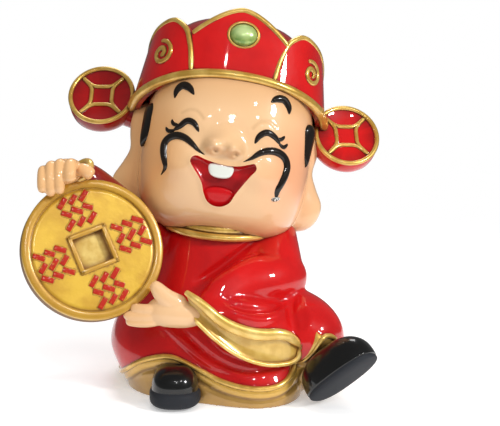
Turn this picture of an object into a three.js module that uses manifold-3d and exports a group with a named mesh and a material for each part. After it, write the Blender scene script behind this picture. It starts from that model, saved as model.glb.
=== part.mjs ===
// Caishen figure: a seated cartoon god of wealth who holds a big coin, cast in one piece and painted.
// Millimetres, +Z up. The figure faces -Y, and the side of its left hand is +X. The origin is on the
// floor, inside the flat underside, where the upright axis of the torso meets it.
import * as THREE from 'three';
import { mergeVertices } from 'three/addons/utils/BufferGeometryUtils.js';
import Module from 'manifold-3d';

// Driving sizes, in millimetres
const FIGURE_HEIGHT = 220;      // floor to the peak of the hat
const COIN_DIAMETER = 80;
const COIN_THICKNESS = 13;      // over the raised rim
const COIN_RIM_WIDTH = 5;
const COIN_BEVEL = 1.5;
const COIN_RIM_RISE = 1.4;      // rim and square frame above the field of the coin
const COIN_SQUARE = 23;         // outer side of the square frame
const COIN_SQUARE_BAR = 2.6;
const COIN_RECESS = 4;          // floor of the square, below the field
const STROKE_LENGTH = 7;        // raised strokes in the four inscription places
const STROKE_WIDTH = 3;
const STROKE_RISE = 0.9;
const STROKE_REACH = 23.6;      // middle of the coin to the middle of each place
const STROKE_GAP = 6.4;         // between the middles of strokes in a row
const STROKE_ROW_GAP = 6.6;
const WING_DIAMETER = 40;       // round wings at the sides of the hat
const WING_THICKNESS = 11;
const WING_RING = 2.8;          // width of the gold ring and arcs on the wing
const WING_STEM = 15;
const BAND_THICKNESS = 5.4;     // roll around the edge of the hat
const PIPING_THICKNESS = 3.2;
const SPIRAL_WIDTH = 21;
const SPIRAL_HEIGHT = 15;
const SPIRAL_THICKNESS = 2.8;
const GEM_WIDTH = 16;
const GEM_HEIGHT = 13;
const GEM_RING = 2.4;
const NOSE_WIDTH = 22.5;
const MOUSTACHE_THICKNESS = 4;
const BROW_THICKNESS = 3.6;
const EYE_THICKNESS = 3;
const MOUTH_DEPTH = 5;
const TOOTH_WIDTH = 15;
const COLLAR_THICKNESS = 5.4;
const CUFF_THICKNESS = 4.4;
const HEM_HEIGHT = 7.5;         // gold border of the skirt
const HEM_THICKNESS = 5.5;
const FINGER_THICKNESS = 6.2;
const SHOE_LENGTH = 46;
const SHOE_WIDTH = 28;
const SHOE_HEIGHT = 23;
const SOLE_THICKNESS = 9;

// Free forms are given in shares of the height: one unit is a hundredth of it.
const UNIT = FIGURE_HEIGHT / 100;
const share = (length) => length / UNIT;
const vec = (x, y, z) => new THREE.Vector3(x, y, z);
const mix = THREE.MathUtils.lerp;
const degrees = THREE.MathUtils.degToRad;
const bump = (x, centre, width) => Math.exp(-(((x - centre) / width) ** 2));
const signedPower = (value, power) => Math.sign(value) * Math.abs(value) ** power;

const wasm = await Module();
wasm.setup();

// A closed geometry, in shares, becomes a solid in millimetres. Faces that a reshaped form has
// turned inwards are turned out again.
function solid(geometry) {
  const bare = new THREE.BufferGeometry();
  bare.setAttribute('position', geometry.attributes.position);
  bare.setIndex(geometry.index);
  bare.scale(UNIT, UNIT, UNIT);
  const merged = mergeVertices(bare, 1e-3);
  const corner = (k) => vec().fromBufferAttribute(merged.attributes.position, k);
  const kept = [];
  let volume = 0;
  for (let k = 0; k < merged.index.count; k += 3) {
    const corners = [0, 1, 2].map((step) => merged.index.getX(k + step));
    if (new Set(corners).size === 3) {
      kept.push(corners);
      const [a, b, c] = corners.map(corner);
      volume += a.dot(b.cross(c)) / 6;
    }
  }
  return new wasm.Manifold(new wasm.Mesh({
    numProp: 3,
    vertProperties: new Float32Array(merged.attributes.position.array),
    triVerts: new Uint32Array(kept.flatMap((corners) => (volume < 0 ? corners.reverse() : corners))),
  }));
}

const join = (solids) => solids.reduce((whole, piece) => whole.add(piece));

// Moves every vertex of a geometry with a function of its position.
function reshape(geometry, place) {
  const position = geometry.attributes.position;
  for (let k = 0; k < position.count; k += 1) {
    const moved = place(vec().fromBufferAttribute(position, k));
    position.setXYZ(k, moved.x, moved.y, moved.z);
  }
  return geometry;
}

// A ball whose poles are up and down, reshaped by a function of the unit direction.
function ball(around, up, place) {
  const sphere = new THREE.SphereGeometry(1, around, up);
  sphere.rotateX(Math.PI / 2);
  return solid(reshape(sphere, place));
}

const curveThrough = (points, closed = false) => new THREE.CatmullRomCurve3(
  points.map((point) => (point.isVector3 ? point : vec(...point))), closed);

// Reads a row of [key, value, value ...] stations as smooth functions of the key.
function stations(rows) {
  return (key) => {
    let k = 0;
    while (k < rows.length - 2 && key > rows[k + 1][0]) k += 1;
    const [low, high] = [rows[k], rows[k + 1]];
    const part = THREE.MathUtils.clamp((key - low[0]) / (high[0] - low[0]), 0, 1);
    const before = rows[Math.max(k - 1, 0)];
    const after = rows[Math.min(k + 2, rows.length - 1)];
    return low.slice(1).map((value, j) => {
      const span = high[0] - low[0];
      const slopeLow = (high[j + 1] - before[j + 1]) / (high[0] - before[0]) * span;
      const slopeHigh = (after[j + 1] - low[j + 1]) / (after[0] - low[0]) * span;
      const [s, s2, s3] = [part, part ** 2, part ** 3];
      return value * (2 * s3 - 3 * s2 + 1) + slopeLow * (s3 - 2 * s2 + s)
        + high[j + 1] * (3 * s2 - 2 * s3) + slopeHigh * (s3 - s2);
    });
  };
}

// A limb with round ends along a curve. size(t) gives its half height and half thickness, and
// outward is the direction of its thickness. A high blunt value makes the ends fuller.
function limb(points, size, outward, { around = 10, along = 8, blunt = 2.4 } = {}) {
  const curve = curveThrough(points);
  const capsule = new THREE.SphereGeometry(1, around, along);
  return solid(reshape(capsule, (p) => {
    const t = Math.acos(THREE.MathUtils.clamp(p.y, -1, 1)) / Math.PI;
    const ring = Math.hypot(p.x, p.z) || 1;
    const end = (1 - Math.abs(2 * t - 1) ** (blunt * 2)) ** (1 / blunt);
    const tangent = curve.getTangent(t);
    const side = vec().crossVectors(outward, tangent).normalize();
    const out = vec().crossVectors(tangent, side).normalize();
    const [height, thickness] = size(t);
    const radial = Math.hypot(p.x, p.z) < 1e-6 ? 0 : end / ring;
    return curve.getPoint(t)
      .addScaledVector(side, p.x * radial * height)
      .addScaledVector(out, p.z * radial * thickness);
  }));
}

// A tapered ridge: a limb of round section that is thickest at its middle.
const ridge = (points, radius, outward, along = 8, taper = 0.75) => limb(
  points, (t) => Array(2).fill(radius * (1 - taper * Math.abs(2 * t - 1) ** 2.2)), outward,
  { around: 5, along });

// A round tube along an open curve.
function tube(points, radius, steps, sides = 6) {
  const section = new THREE.Shape();
  for (let k = 0; k < sides; k += 1) {
    const way = 2 * Math.PI * (k + 0.5) / sides;
    const corner = [radius * Math.cos(way), radius * Math.sin(way)];
    if (k === 0) section.moveTo(...corner);
    else section.lineTo(...corner);
  }
  return solid(new THREE.ExtrudeGeometry(section, {
    steps, bevelEnabled: false, extrudePath: curveThrough(points),
  }));
}

// A closed roll: centre(u) is its middle line, out(u) points away from the body it lies on.
function roll(centre, out, height, thickness, around = 40, sides = 6) {
  const torus = new THREE.TorusGeometry(2, 1, sides, around);
  return solid(reshape(torus, (p) => {
    const u = Math.atan2(p.y, p.x) / (2 * Math.PI);
    const section = Math.hypot(p.x, p.y) - 2;
    const tangent = centre(u + 0.002).sub(centre(u - 0.002)).normalize();
    const outward = out(u);
    const up = vec().crossVectors(outward, tangent).normalize();
    return centre(u).addScaledVector(outward, section * thickness).addScaledVector(up, -p.z * height);
  }));
}

// A bent plate: face(u, v, depth) is a point of it, with u and v from 0 to 1.
function plate(across, up, thickness, face) {
  const box = new THREE.BoxGeometry(1, 1, 1, across, up, 1);
  return solid(reshape(box, (p) => face(p.x + 0.5, p.y + 0.5, (0.5 - p.z) * thickness)));
}

// Head

const HEAD_CENTRE = vec(2.5, 0.9, 61.6);
const HEAD_ROLL = degrees(8);
const HEAD_PITCH = degrees(12);
const headTurn = new THREE.Matrix4()
  .makeRotationX(-HEAD_PITCH)
  .multiply(new THREE.Matrix4().makeRotationY(HEAD_ROLL));
const onHead = (x, y, z) => vec(x, y, z).applyMatrix4(headTurn).add(HEAD_CENTRE);
const headWay = (x, y, z) => vec(x, y, z).applyMatrix4(headTurn).normalize();
const headOut = headWay(0, -1, 0);

const SKULL = { width: 22.6, depth: 20.5, crown: 29, chin: 23.8, upper: 2.5, lower: 3.7, front: 2.4 };

// How far a point of the face, seen from the front, is from the middle to the edge: 0 to 1.
function faceReach(x, z) {
  const power = z > 0 ? SKULL.upper : SKULL.lower;
  const height = z > 0 ? SKULL.crown : SKULL.chin;
  return (Math.abs(x / SKULL.width) ** power + Math.abs(z / height) ** power) ** (1 / power);
}

const faceDepth = (x, z) => -SKULL.depth
  * Math.max(1 - faceReach(x, z) ** SKULL.front, 0) ** (1 / SKULL.front);

const onFace = (x, z, raise = 0) => onHead(x, faceDepth(x, z) - raise, z);

function makeSkull() {
  return ball(24, 15, (d) => {
    const size = (faceReach(d.x, d.z) ** SKULL.front + Math.abs(d.y / SKULL.depth) ** SKULL.front)
      ** (-1 / SKULL.front);
    return onHead(d.x * size, d.y * size, d.z * size);
  });
}

const NOSE = { x: -0.3, z: 0.5, height: 6.2, rise: 2.6 };
const CHEEK = { x: 11.3, z: -4.4, width: 5.3, height: 4.6, rise: 1.3, sink: 1.8 };

function makeNose() {
  const half = share(NOSE_WIDTH) / 2;
  const seat = faceDepth(NOSE.x, NOSE.z);
  return ball(8, 6, (d) => onHead(
    NOSE.x + signedPower(d.x, 0.85) * half,
    seat + d.y * NOSE.rise,
    NOSE.z + d.z * NOSE.height / 2));
}

function makeCheek(side) {
  return ball(8, 6, (d) => {
    const x = side * (CHEEK.x + d.x * CHEEK.width);
    const z = CHEEK.z + d.z * CHEEK.height;
    return onHead(x, faceDepth(x, z) + CHEEK.sink + d.y * (CHEEK.rise + CHEEK.sink), z);
  });
}

// The mouth is cut this far out from the face, so that it opens over the cheeks too.
const MOUTH_OPEN = 3;

// The open mouth: wide above, with an upper lip that sags, and narrow and round below.
const MOUTH = { left: -8.3, right: 8.8, corner: -4.8, lip: -3.2, sag: -6.2, low: -15.4, shift: 0.6 };

function mouthCut() {
  const { left, right, corner, lip, sag, low, shift } = MOUTH;
  const shape = new THREE.Shape();
  shape.moveTo(left, corner);
  shape.lineTo(left + 1.2, lip);
  shape.quadraticCurveTo(shift, sag, right - 0.8, lip);
  shape.lineTo(right, corner);
  shape.bezierCurveTo(right - 1.6, corner - 2, right - 3.6, low + 4.6, shift + 3, low + 1.5);
  shape.quadraticCurveTo(shift, low - 1.2, shift - 3, low + 1.5);
  shape.bezierCurveTo(shift - 4.4, low + 5.6, left + 3.4, corner - 3, left, corner);
  const block = new THREE.ExtrudeGeometry(shape, { depth: 1, bevelEnabled: false, curveSegments: 4 });
  return solid(reshape(block, (p) => onHead(
    p.x, faceDepth(p.x, p.y) + (p.z < 0.5 ? share(MOUTH_DEPTH) : -MOUTH_OPEN), p.y)));
}

const TOOTH = { x: -0.2, top: -4.2, low: -7.9, sunk: 0.7, thickness: 1.6 };

function makeTooth() {
  const half = share(TOOTH_WIDTH) / 2;
  return plate(3, 1, TOOTH.thickness, (u, v, depth) => {
    const across = 2 * u - 1;
    const x = TOOTH.x + across * half * mix(0.84, 1, v);
    const z = mix(TOOTH.low + 0.9 * across ** 2, TOOTH.top, v);
    return onHead(x, faceDepth(x, z) + TOOTH.sunk + depth, z);
  });
}

const TONGUE = { shift: -0.4, z: -12.9, width: 4.2, height: 2.8, rise: 1 };

function makeTongue() {
  const middle = MOUTH.shift + TONGUE.shift;
  const floor = faceDepth(middle, TONGUE.z) + share(MOUTH_DEPTH);
  return ball(7, 4, (d) => onHead(
    middle + d.x * TONGUE.width, floor + d.y * TONGUE.rise, TONGUE.z + d.z * TONGUE.height));
}

// Lines of the face, as [distance from the middle, height] on its surface.
const LINE_SHIFT = 0.3;
const MOUSTACHE = [[5, -2.5], [8.6, 0.1], [12.2, 1.6], [15, 0.4], [16.1, -2.6], [14.9, -6.6], [14.6, -9.9]];
const BROW = [[14.8, 10.8], [14.2, 13], [12.5, 14.5], [9.8, 12.4]];
const EYE = [[13.8, 2.2], [12.2, 3.9], [9.9, 5.4], [7.2, 2.3]];

function faceLine(line, side, thickness, along) {
  const radius = share(thickness) / 2;
  const points = line.map(([x, z]) => onFace(side * x + LINE_SHIFT, z, radius * 0.35));
  return ridge(points, radius, headOut, along);
}

// A lock of hair beside each ear, as [inset from the side of the head, height].
const HAIR = { width: 2.4, depth: -8.9, rise: 1.4 };
const HAIR_LINE = [[1.7, 9.4], [1.8, 6], [1.7, 2.5], [0.9, -2.3]];

function makeHairPatch(side) {
  const points = HAIR_LINE.map(([inset, z]) => onHead(side * (SKULL.width - inset), HAIR.depth, z));
  return limb(points, (t) => [HAIR.width * Math.sin(Math.PI * mix(0.25, 0.9, t)), HAIR.rise],
    headWay(side, -0.6, 0), { around: 5, along: 4 });
}

// An ear reaches up to the hat, is narrow beside the temple and hangs to a big round lobe. Rows are
// height along the ear, reach away from the head, and thickness.
const EAR = { inset: 2.1, shift: -1.9, y: 2.4, z: -4.6, half: 14.9 };
const EAR_FORM = stations([
  [-1, 0.3, 0.3], [-0.92, 3.8, 2.6], [-0.74, 6.2, 3.8], [-0.45, 7, 4.2], [-0.17, 5, 3.8],
  [0.1, 3.4, 3.4], [0.4, 4, 3.6], [0.8, 4, 3.4], [1, 0.3, 0.3],
]);

function makeEar(side) {
  const root = side * (SKULL.width - EAR.inset) + (side < 0 ? EAR.shift : 0);
  return ball(8, 11, (d) => {
    const level = 2 * Math.asin(d.z) / Math.PI;
    const [reach, thick] = EAR_FORM(level);
    const flat = Math.hypot(d.x, d.y) || 1;
    return onHead(root + d.x / flat * reach, EAR.y + d.y / flat * thick, EAR.z + EAR.half * level);
  });
}

// Hat

const HAT = {
  width: 25.4, depth: 19.8, back: 19.1, centre: [-0.7, 1.95], plan: 2.3, leanSide: 0.17, leanFront: 0.12,
};

// A point of the wall of the hat, by angle from the front and height over the head's middle. In front
// the wall leans back, and behind it stands upright.
function hatWall(angle, z, out = 0) {
  const width = HAT.width - HAT.leanSide * (z - 14) + out;
  const depth = (Math.cos(angle) > 0 ? HAT.depth - HAT.leanFront * (z - 18) : HAT.back) + out;
  return vec(
    HAT.centre[0] + width * signedPower(Math.sin(angle), 2 / HAT.plan),
    HAT.centre[1] - depth * signedPower(Math.cos(angle), 2 / HAT.plan),
    z);
}

const onHat = (angle, z, out) => onHead(...hatWall(angle, z, out));

// The edge of the hat is high over the forehead, low at the nape and a little lower on the right.
const BAND = { side: 10, forward: 6.9, front: 1.8, right: 1, droop: 1.6 };

function bandHeight(angle) {
  const forward = signedPower(Math.cos(angle), 2 / HAT.plan);
  const right = Math.min(0, Math.sin(angle));
  return BAND.side + BAND.forward * forward + BAND.front * forward ** 2
    + BAND.right * (right + BAND.droop * right ** 3);
}

const CROWN = { width: 22, depth: 18.8, height: 23.2, centre: [-0.5, 2.4, 12], power: 2.6 };

function makeCrown() {
  const { width, depth, height, centre, power } = CROWN;
  return ball(18, 9, (d) => {
    const size = (Math.abs(d.x / width) ** power + Math.abs(d.y / depth) ** power
      + Math.abs(d.z / height) ** power) ** (-1 / power);
    return onHead(centre[0] + d.x * size, centre[1] + d.y * size, centre[2] + d.z * size);
  });
}

function makeBand() {
  const radius = share(BAND_THICKNESS) / 2;
  const turn = (u) => 2 * Math.PI * u;
  const centre = (u) => onHat(turn(u), bandHeight(turn(u)), -0.2 * radius);
  const out = (u) => {
    const wall = hatWall(turn(u), 12);
    return headWay(wall.x - HAT.centre[0], wall.y - HAT.centre[1], 0);
  };
  return roll(centre, out, radius, radius, 28, 4);
}

const PANEL = {
  corner: 12.6, foot: 10.9, base: 16.5, peak: 35.8, drop: 7.7, point: 1.6, sunk: 0.5, thickness: 3,
};

function panelTop(x) {
  return PANEL.peak - PANEL.drop * Math.abs(x / PANEL.corner) ** PANEL.point;
}

// The front panel rises over the forehead to a point.
function panelPoint(x, z, depth) {
  const angle = Math.asin(THREE.MathUtils.clamp(signedPower(x / HAT.width, HAT.plan / 2), -1, 1));
  return onHead(x, hatWall(angle, z, -PANEL.sunk - depth).y, z);
}

function makePanel() {
  return plate(8, 1, PANEL.thickness, (u, v, depth) => {
    const x = (2 * u - 1) * mix(PANEL.foot, PANEL.corner, v);
    return panelPoint(x, mix(PANEL.base, panelTop(x), v), depth);
  });
}

// How far the middle of a piping lies under the face that it edges.
const PIPING_SINK = 0.4;

function makePanelPiping() {
  const points = [];
  for (let k = 0; k <= 12; k += 1) {
    const x = mix(-PANEL.corner, PANEL.corner, k / 12);
    points.push(panelPoint(x, panelTop(x), PIPING_SINK));
  }
  return tube(points, share(PIPING_THICKNESS) / 2, 10, 4);
}

// Outline of a side lobe as angle and height, from its front foot over its top to the nape.
const LOBE = [
  [22.6, 17.6], [28.5, 25.6], [37, 30], [48, 31.4], [66, 29.6], [88, 24.8], [114, 16.6], [136, 9],
];
const LOBE_THICKNESS = 2.6;
const lobeCurve = curveThrough(LOBE.map(([angle, z]) => [degrees(angle), z, 0]));

function makeLobe(side) {
  return plate(9, 1, LOBE_THICKNESS, (u, v, depth) => {
    const top = lobeCurve.getPoint(side > 0 ? u : 1 - u);
    const z = mix(bandHeight(side * top.x) - 0.6, top.y, v);
    return onHat(side * top.x, z, -depth);
  });
}

function makeLobePiping(side) {
  const points = lobeCurve.getPoints(16).map((p) => onHat(side * p.x, p.y, -PIPING_SINK));
  return tube(points, share(PIPING_THICKNESS) / 2, 13, 4);
}

const SPIRAL = {
  left: degrees(51), right: degrees(56), z: 22.4, turns: 1.55, start: 2, inner: 0.1, sunk: 0.1,
};

// Both scrolls wind the same way round.
function makeSpiral(side) {
  const middle = side < 0 ? SPIRAL.left : SPIRAL.right;
  const points = [];
  for (let k = 0; k <= 16; k += 1) {
    const reach = mix(1, SPIRAL.inner, k / 16) / 2;
    const way = SPIRAL.start - 2 * Math.PI * SPIRAL.turns * k / 16;
    const angle = middle + side * share(SPIRAL_WIDTH) * reach * Math.cos(way) / HAT.width;
    points.push(onHat(side * angle, SPIRAL.z + share(SPIRAL_HEIGHT) * reach * Math.sin(way), -SPIRAL.sunk));
  }
  return tube(points, share(SPIRAL_THICKNESS) / 2, 14, 3);
}

const GEM = { x: 0.7, z: 29.4, rise: 2.2, sunk: 0.5 };

function makeGem() {
  const seat = panelPoint(GEM.x, GEM.z, GEM.sunk);
  const [halfWidth, halfHeight] = [share(GEM_WIDTH) / 2, share(GEM_HEIGHT) / 2];
  const across = headWay(1, 0, 0);
  const up = headWay(0, 0.1, 1);
  const stone = ball(9, 5, (d) => seat.clone()
    .addScaledVector(across, d.x * halfWidth)
    .addScaledVector(headOut, d.y * GEM.rise)
    .addScaledVector(up, d.z * halfHeight));
  const radius = share(GEM_RING) / 2;
  const ring = roll(
    (u) => seat.clone()
      .addScaledVector(across, Math.cos(2 * Math.PI * u) * (halfWidth + radius * 0.4))
      .addScaledVector(up, Math.sin(2 * Math.PI * u) * (halfHeight + radius * 0.4)),
    () => headOut, radius, radius * 1.4, 12, 4);
  return join([stone, ring]);
}

// Wings of the hat: a round disc on each side, with a raised ring and four arcs that leave a square in
// the middle and run out along its diagonals.

const WING = { tilt: degrees(27), turn: degrees(7), spin: degrees(8), field: 0.4 };
const WING_ARC = { narrow: 0.33, half: 0.69, thick: 0.46, bend: 5.5 };
const WING_CENTRE = { left: [-35.4, 2, 10.2], right: [31.6, 2, 8.6] };
const WING_ROOT = [19, 4, 4.5];

function makeWing(side) {
  const centre = onHead(...(side < 0 ? WING_CENTRE.left : WING_CENTRE.right));
  const normal = headWay(
    side * Math.sin(WING.turn), -Math.cos(WING.tilt) * Math.cos(WING.turn), Math.sin(WING.tilt));
  const across = vec().crossVectors(headWay(0, 0, 1), normal).normalize();
  const up = vec().crossVectors(normal, across);
  const at = (x, out, z) => centre.clone()
    .addScaledVector(across, x).addScaledVector(normal, out).addScaledVector(up, z);
  const radius = share(WING_DIAMETER) / 2;
  const thick = share(WING_THICKNESS);
  const bead = share(WING_RING);
  const field = -WING.field * bead;
  const profile = [[0, -thick], [0.92 * radius, -thick], [radius, -0.8 * thick], [radius - 0.5 * bead, 0],
    [radius - bead, field], [0, field]];
  const disc = solid(reshape(
    new THREE.LatheGeometry(profile.map(([r, out]) => new THREE.Vector2(r, out)), 16),
    (p) => at(p.x, p.y, p.z)));
  const inner = radius - 0.5 * bead;
  const arcs = [0, 1, 2, 3].map((k) => {
    const middle = k * Math.PI / 2 + WING.spin;
    const points = [-1, -0.55, 0, 0.55, 1].map((spread) => {
      const slide = inner * WING_ARC.half * spread;
      const reach = ((inner * WING_ARC.narrow) ** WING_ARC.bend + Math.abs(slide) ** WING_ARC.bend)
        ** (1 / WING_ARC.bend);
      return at(
        reach * Math.cos(middle) - slide * Math.sin(middle), field,
        reach * Math.sin(middle) + slide * Math.cos(middle));
    });
    return tube(points, bead * WING_ARC.thick, 4, 4);
  });
  const stemRadius = share(WING_STEM) / 2;
  const root = onHead(side * WING_ROOT[0], WING_ROOT[1], WING_ROOT[2]);
  const stem = limb([root, at(0, -thick * 0.6, -1.4)], () => [stemRadius, stemRadius], headOut,
    { around: 6, along: 4, blunt: 3 });
  return join([disc, ...arcs, stem]);
}

// Coin

const COIN_CENTRE = vec(-31, -25, 40.5);
const COIN_TURN = degrees(15);
const COIN_TILT = degrees(21.5);
const COIN_SPIN = degrees(17.7);
const coinNormal = vec(
  Math.sin(COIN_TURN) * Math.cos(COIN_TILT), -Math.cos(COIN_TURN) * Math.cos(COIN_TILT), Math.sin(COIN_TILT));
const coinAcross = vec(Math.cos(COIN_TURN), Math.sin(COIN_TURN), 0);
const coinUp = vec().crossVectors(coinNormal, coinAcross);

// A point on or over the face of the coin, in millimetres from its middle and over its rim.
const onCoin = (x, z, out) => COIN_CENTRE.clone()
  .addScaledVector(coinAcross, share(x))
  .addScaledVector(coinUp, share(z))
  .addScaledVector(coinNormal, share(out));

function onRim(angle, out = 0) {
  const radius = COIN_DIAMETER / 2;
  return onCoin(radius * Math.cos(angle), radius * Math.sin(angle), out);
}

// A bar on the field of the coin, from one point to another, in the turned frame of the square.
function coinBar([x0, z0], [x1, z1], width, low, high) {
  const length = Math.hypot(x1 - x0, z1 - z0);
  const way = Math.atan2(z1 - z0, x1 - x0) + COIN_SPIN;
  const [mx, mz] = [(x0 + x1) / 2, (z0 + z1) / 2];
  const cx = mx * Math.cos(COIN_SPIN) - mz * Math.sin(COIN_SPIN);
  const cz = mx * Math.sin(COIN_SPIN) + mz * Math.cos(COIN_SPIN);
  const box = new THREE.BoxGeometry(length, width, 1);
  return solid(reshape(box, (p) => onCoin(
    cx + p.x * Math.cos(way) - p.y * Math.sin(way),
    cz + p.x * Math.sin(way) + p.y * Math.cos(way),
    p.z > 0 ? high : low)));
}

// Four places of short slanted strokes that are no letters. The rows of a place slant to and fro, and
// every other stroke is a little shorter. A stroke is sunk a little into the field.
const PLACE = { rows: 3, across: 3, slant: degrees(38), shorter: 0.14 };
const SINK = 1;

function makeStrokes(field) {
  const strokes = [];
  for (let k = 0; k < 4 * PLACE.rows * PLACE.across; k += 1) {
    const column = k % PLACE.across;
    const row = Math.floor(k / PLACE.across) % PLACE.rows;
    const place = Math.floor(k / (PLACE.across * PLACE.rows));
    const way = Math.PI / 2 * place;
    const x = STROKE_REACH * Math.cos(way) + (column - (PLACE.across - 1) / 2) * STROKE_GAP;
    const z = STROKE_REACH * Math.sin(way) + (row - (PLACE.rows - 1) / 2) * STROKE_ROW_GAP;
    const lean = (row + place) % 2 ? PLACE.slant : Math.PI - PLACE.slant;
    const half = STROKE_LENGTH / 2 * (1 - PLACE.shorter * ((row + column) % 2));
    const [dx, dz] = [half * Math.cos(lean), half * Math.sin(lean)];
    strokes.push(
      coinBar([x - dx, z - dz], [x + dx, z + dz], STROKE_WIDTH, field - SINK, field + STROKE_RISE));
  }
  return strokes;
}

function makeCoin() {
  const radius = COIN_DIAMETER / 2;
  const field = -COIN_RIM_RISE;
  const profile = [[0, -COIN_THICKNESS], [radius - COIN_BEVEL, -COIN_THICKNESS],
    [radius, COIN_BEVEL - COIN_THICKNESS], [radius, -COIN_BEVEL], [radius - COIN_BEVEL, 0],
    [radius - COIN_RIM_WIDTH, field], [0, field]];
  const disc = solid(reshape(
    new THREE.LatheGeometry(profile.map(([r, out]) => new THREE.Vector2(r, out)), 32),
    (p) => onCoin(p.x, p.z, p.y)));
  const inner = COIN_SQUARE - 2 * COIN_SQUARE_BAR;
  const frame = coinBar([-COIN_SQUARE / 2, 0], [COIN_SQUARE / 2, 0], COIN_SQUARE, field - SINK, 0);
  const recess = coinBar([-inner / 2, 0], [inner / 2, 0], inner, field - COIN_RECESS, SINK);
  return join([disc, frame, ...makeStrokes(field)]).subtract(recess);
}

// Hands on the rim of the coin: offsets from a point of the rim, in shares.

const HIGH_HAND = degrees(125);
const LOW_HAND = degrees(-40);
const beside = (rim, [x, y, z]) => rim.clone().add(vec(x, y, z));

function finger(rim, points, scale) {
  const radius = share(FINGER_THICKNESS) / 2 * scale;
  return limb(points.map((offset) => beside(rim, offset)), () => [radius, radius], vec(0, -1, 0.2),
    { around: 6, along: 4, blunt: 2.6 });
}

// Fingers of the raised hand, as place along the rim, heights of the knuckle and the tip, and thickness,
// and of the low hand, as reach of the tip, height and thickness.
const HIGH_FINGERS = [[-0.4, 7, 1.6, 0.92], [1.6, 8.1, 0.6, 1], [3.9, 8.6, 1.2, 1.03], [6.6, 8.5, 4.4, 1.17]];
const LOW_FINGERS = [[-4.4, -2.9, 0.96], [-6.4, -4.7, 1], [-5.8, -6.4, 0.92]];

const HIGH_BACK = [[0.8, 0.6, 5.2], [4.8, 1.2, 6], [8.6, 3, 6.2]];
const HIGH_BACK_SIZE = stations([[0, 3, 3], [0.5, 3.4, 3.2], [1, 2.7, 2.7]]);
const HIGH_THUMB = [[7.2, 0.6, 6.4], [10, -1.4, 6.9], [12.2, -2, 5.4]];
const LOW_PALM = [[-0.4, -4.6, -4.6], [4, -5.4, -3.6], [9, -5.6, -4.3], [14, -5, -5.2]];
const LOW_PALM_SIZE = stations([[0, 2.6, 2], [0.35, 4, 2.7], [0.7, 3.5, 2.7], [1, 2.5, 2.4]]);
const LOW_THUMB = [[9.2, -5.4, -3], [4.8, -6, 0], [1.2, -5.8, 4.2]];
const LOW_THUMB_SIZE = stations([[0, 3.2, 2.2], [0.5, 2.5, 1.9], [1, 1.5, 1.5]]);

function makeHighHand() {
  const rim = onRim(HIGH_HAND, -COIN_THICKNESS / 2);
  const back = limb(HIGH_BACK.map((offset) => beside(rim, offset)), HIGH_BACK_SIZE, vec(0, -1, 0.3),
    { around: 8, along: 6, blunt: 3 });
  const fingers = HIGH_FINGERS.map(([across, knuckle, tip, scale]) => finger(rim, [
    [across + 0.5, 0.6, knuckle - 0.8], [across, -2.6, knuckle],
    [across, -4.8, mix(knuckle, tip, 0.5)], [across + 0.1, -4.9, tip]], scale));
  return join([back, ...fingers, finger(rim, HIGH_THUMB, 1.24)]);
}

function makeLowHand() {
  const rim = onRim(LOW_HAND, -COIN_THICKNESS / 2);
  const palm = limb(LOW_PALM.map((offset) => beside(rim, offset)), LOW_PALM_SIZE, vec(0, -1, 0.2),
    { around: 9, along: 7, blunt: 3 });
  const fingers = LOW_FINGERS.map(([tip, z, scale]) => finger(
    rim, [[4.4, -5.4, z * 0.8 - 0.6], [0, -5.9, z], [tip, -4.8, z]], scale));
  const thumb = limb(LOW_THUMB.map((offset) => beside(rim, offset)), LOW_THUMB_SIZE, vec(0, -1, 0.2),
    { around: 7, along: 5, blunt: 2.8 });
  return join([palm, ...fingers, thumb]);
}

// Robe

// Centre and half sizes of the level section of torso and skirt, by height.
const ROBE = { low: -8, high: 46, plan: 2.2 };
const robeSection = stations([
  [-6, -0.9, -3.8, 22.4, 21.6], [0, -0.9, -3.8, 23.8, 22.4], [5, -0.8, -3.8, 26.4, 22.8],
  [11, -1, -3.6, 28, 22.4], [18, -0.5, -2.6, 26.4, 21.2], [25, 0, -1.2, 22.6, 19],
  [32, 0.6, -0.2, 19, 16.8], [38, 1, 0, 16.6, 15], [46, 1.2, 0, 13, 12.6],
]);

// Swellings of the robe: how far, round which angle and how wide, round which height and how high.
const LAP = { rise: 7.6, angle: degrees(33), spread: degrees(28), z: 1, height: 11 };
const FOLD = { rise: 0.6, pitch: 1.2, slant: 10, angle: degrees(8), spread: degrees(30), z: 12, height: 5 };
const PLEAT = { rise: 0.5, count: 7, angle: Math.PI, spread: 1.2, z: 8, height: 16 };
const swell = ({ angle, spread, rise, z, height }, at, level) => rise * bump(at, angle, spread)
  * bump(level, z, height);

// A point of the robe. The lap swells the front edge of the skirt, folds sweep across the front, and
// soft pleats hang down the back.
function robePoint(angle, z) {
  const [cx, cy, width, depth] = robeSection(z);
  const reach = (Math.abs(Math.sin(angle) / width) ** ROBE.plan
    + Math.abs(Math.cos(angle) / depth) ** ROBE.plan) ** (-1 / ROBE.plan);
  const fold = Math.cos((z + FOLD.slant * angle) * FOLD.pitch) * swell(FOLD, angle, z);
  const pleat = Math.cos(PLEAT.count * angle) * swell(PLEAT, Math.abs(angle), z);
  const radius = reach + swell(LAP, angle, z) + fold + pleat;
  return vec(cx + radius * Math.sin(angle), cy - radius * Math.cos(angle), z);
}

function makeRobe() {
  return ball(26, 12, (d) => {
    const angle = Math.atan2(d.x, -d.y);
    const z = mix(ROBE.low, ROBE.high, 0.5 + Math.asin(d.z) / Math.PI);
    const end = Math.min(1, Math.hypot(d.x, d.y) * 5);
    const edge = robePoint(angle, z);
    const [cx, cy] = robeSection(z);
    return vec(mix(cx, edge.x, end), mix(cy, edge.y, end), z);
  });
}

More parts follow.
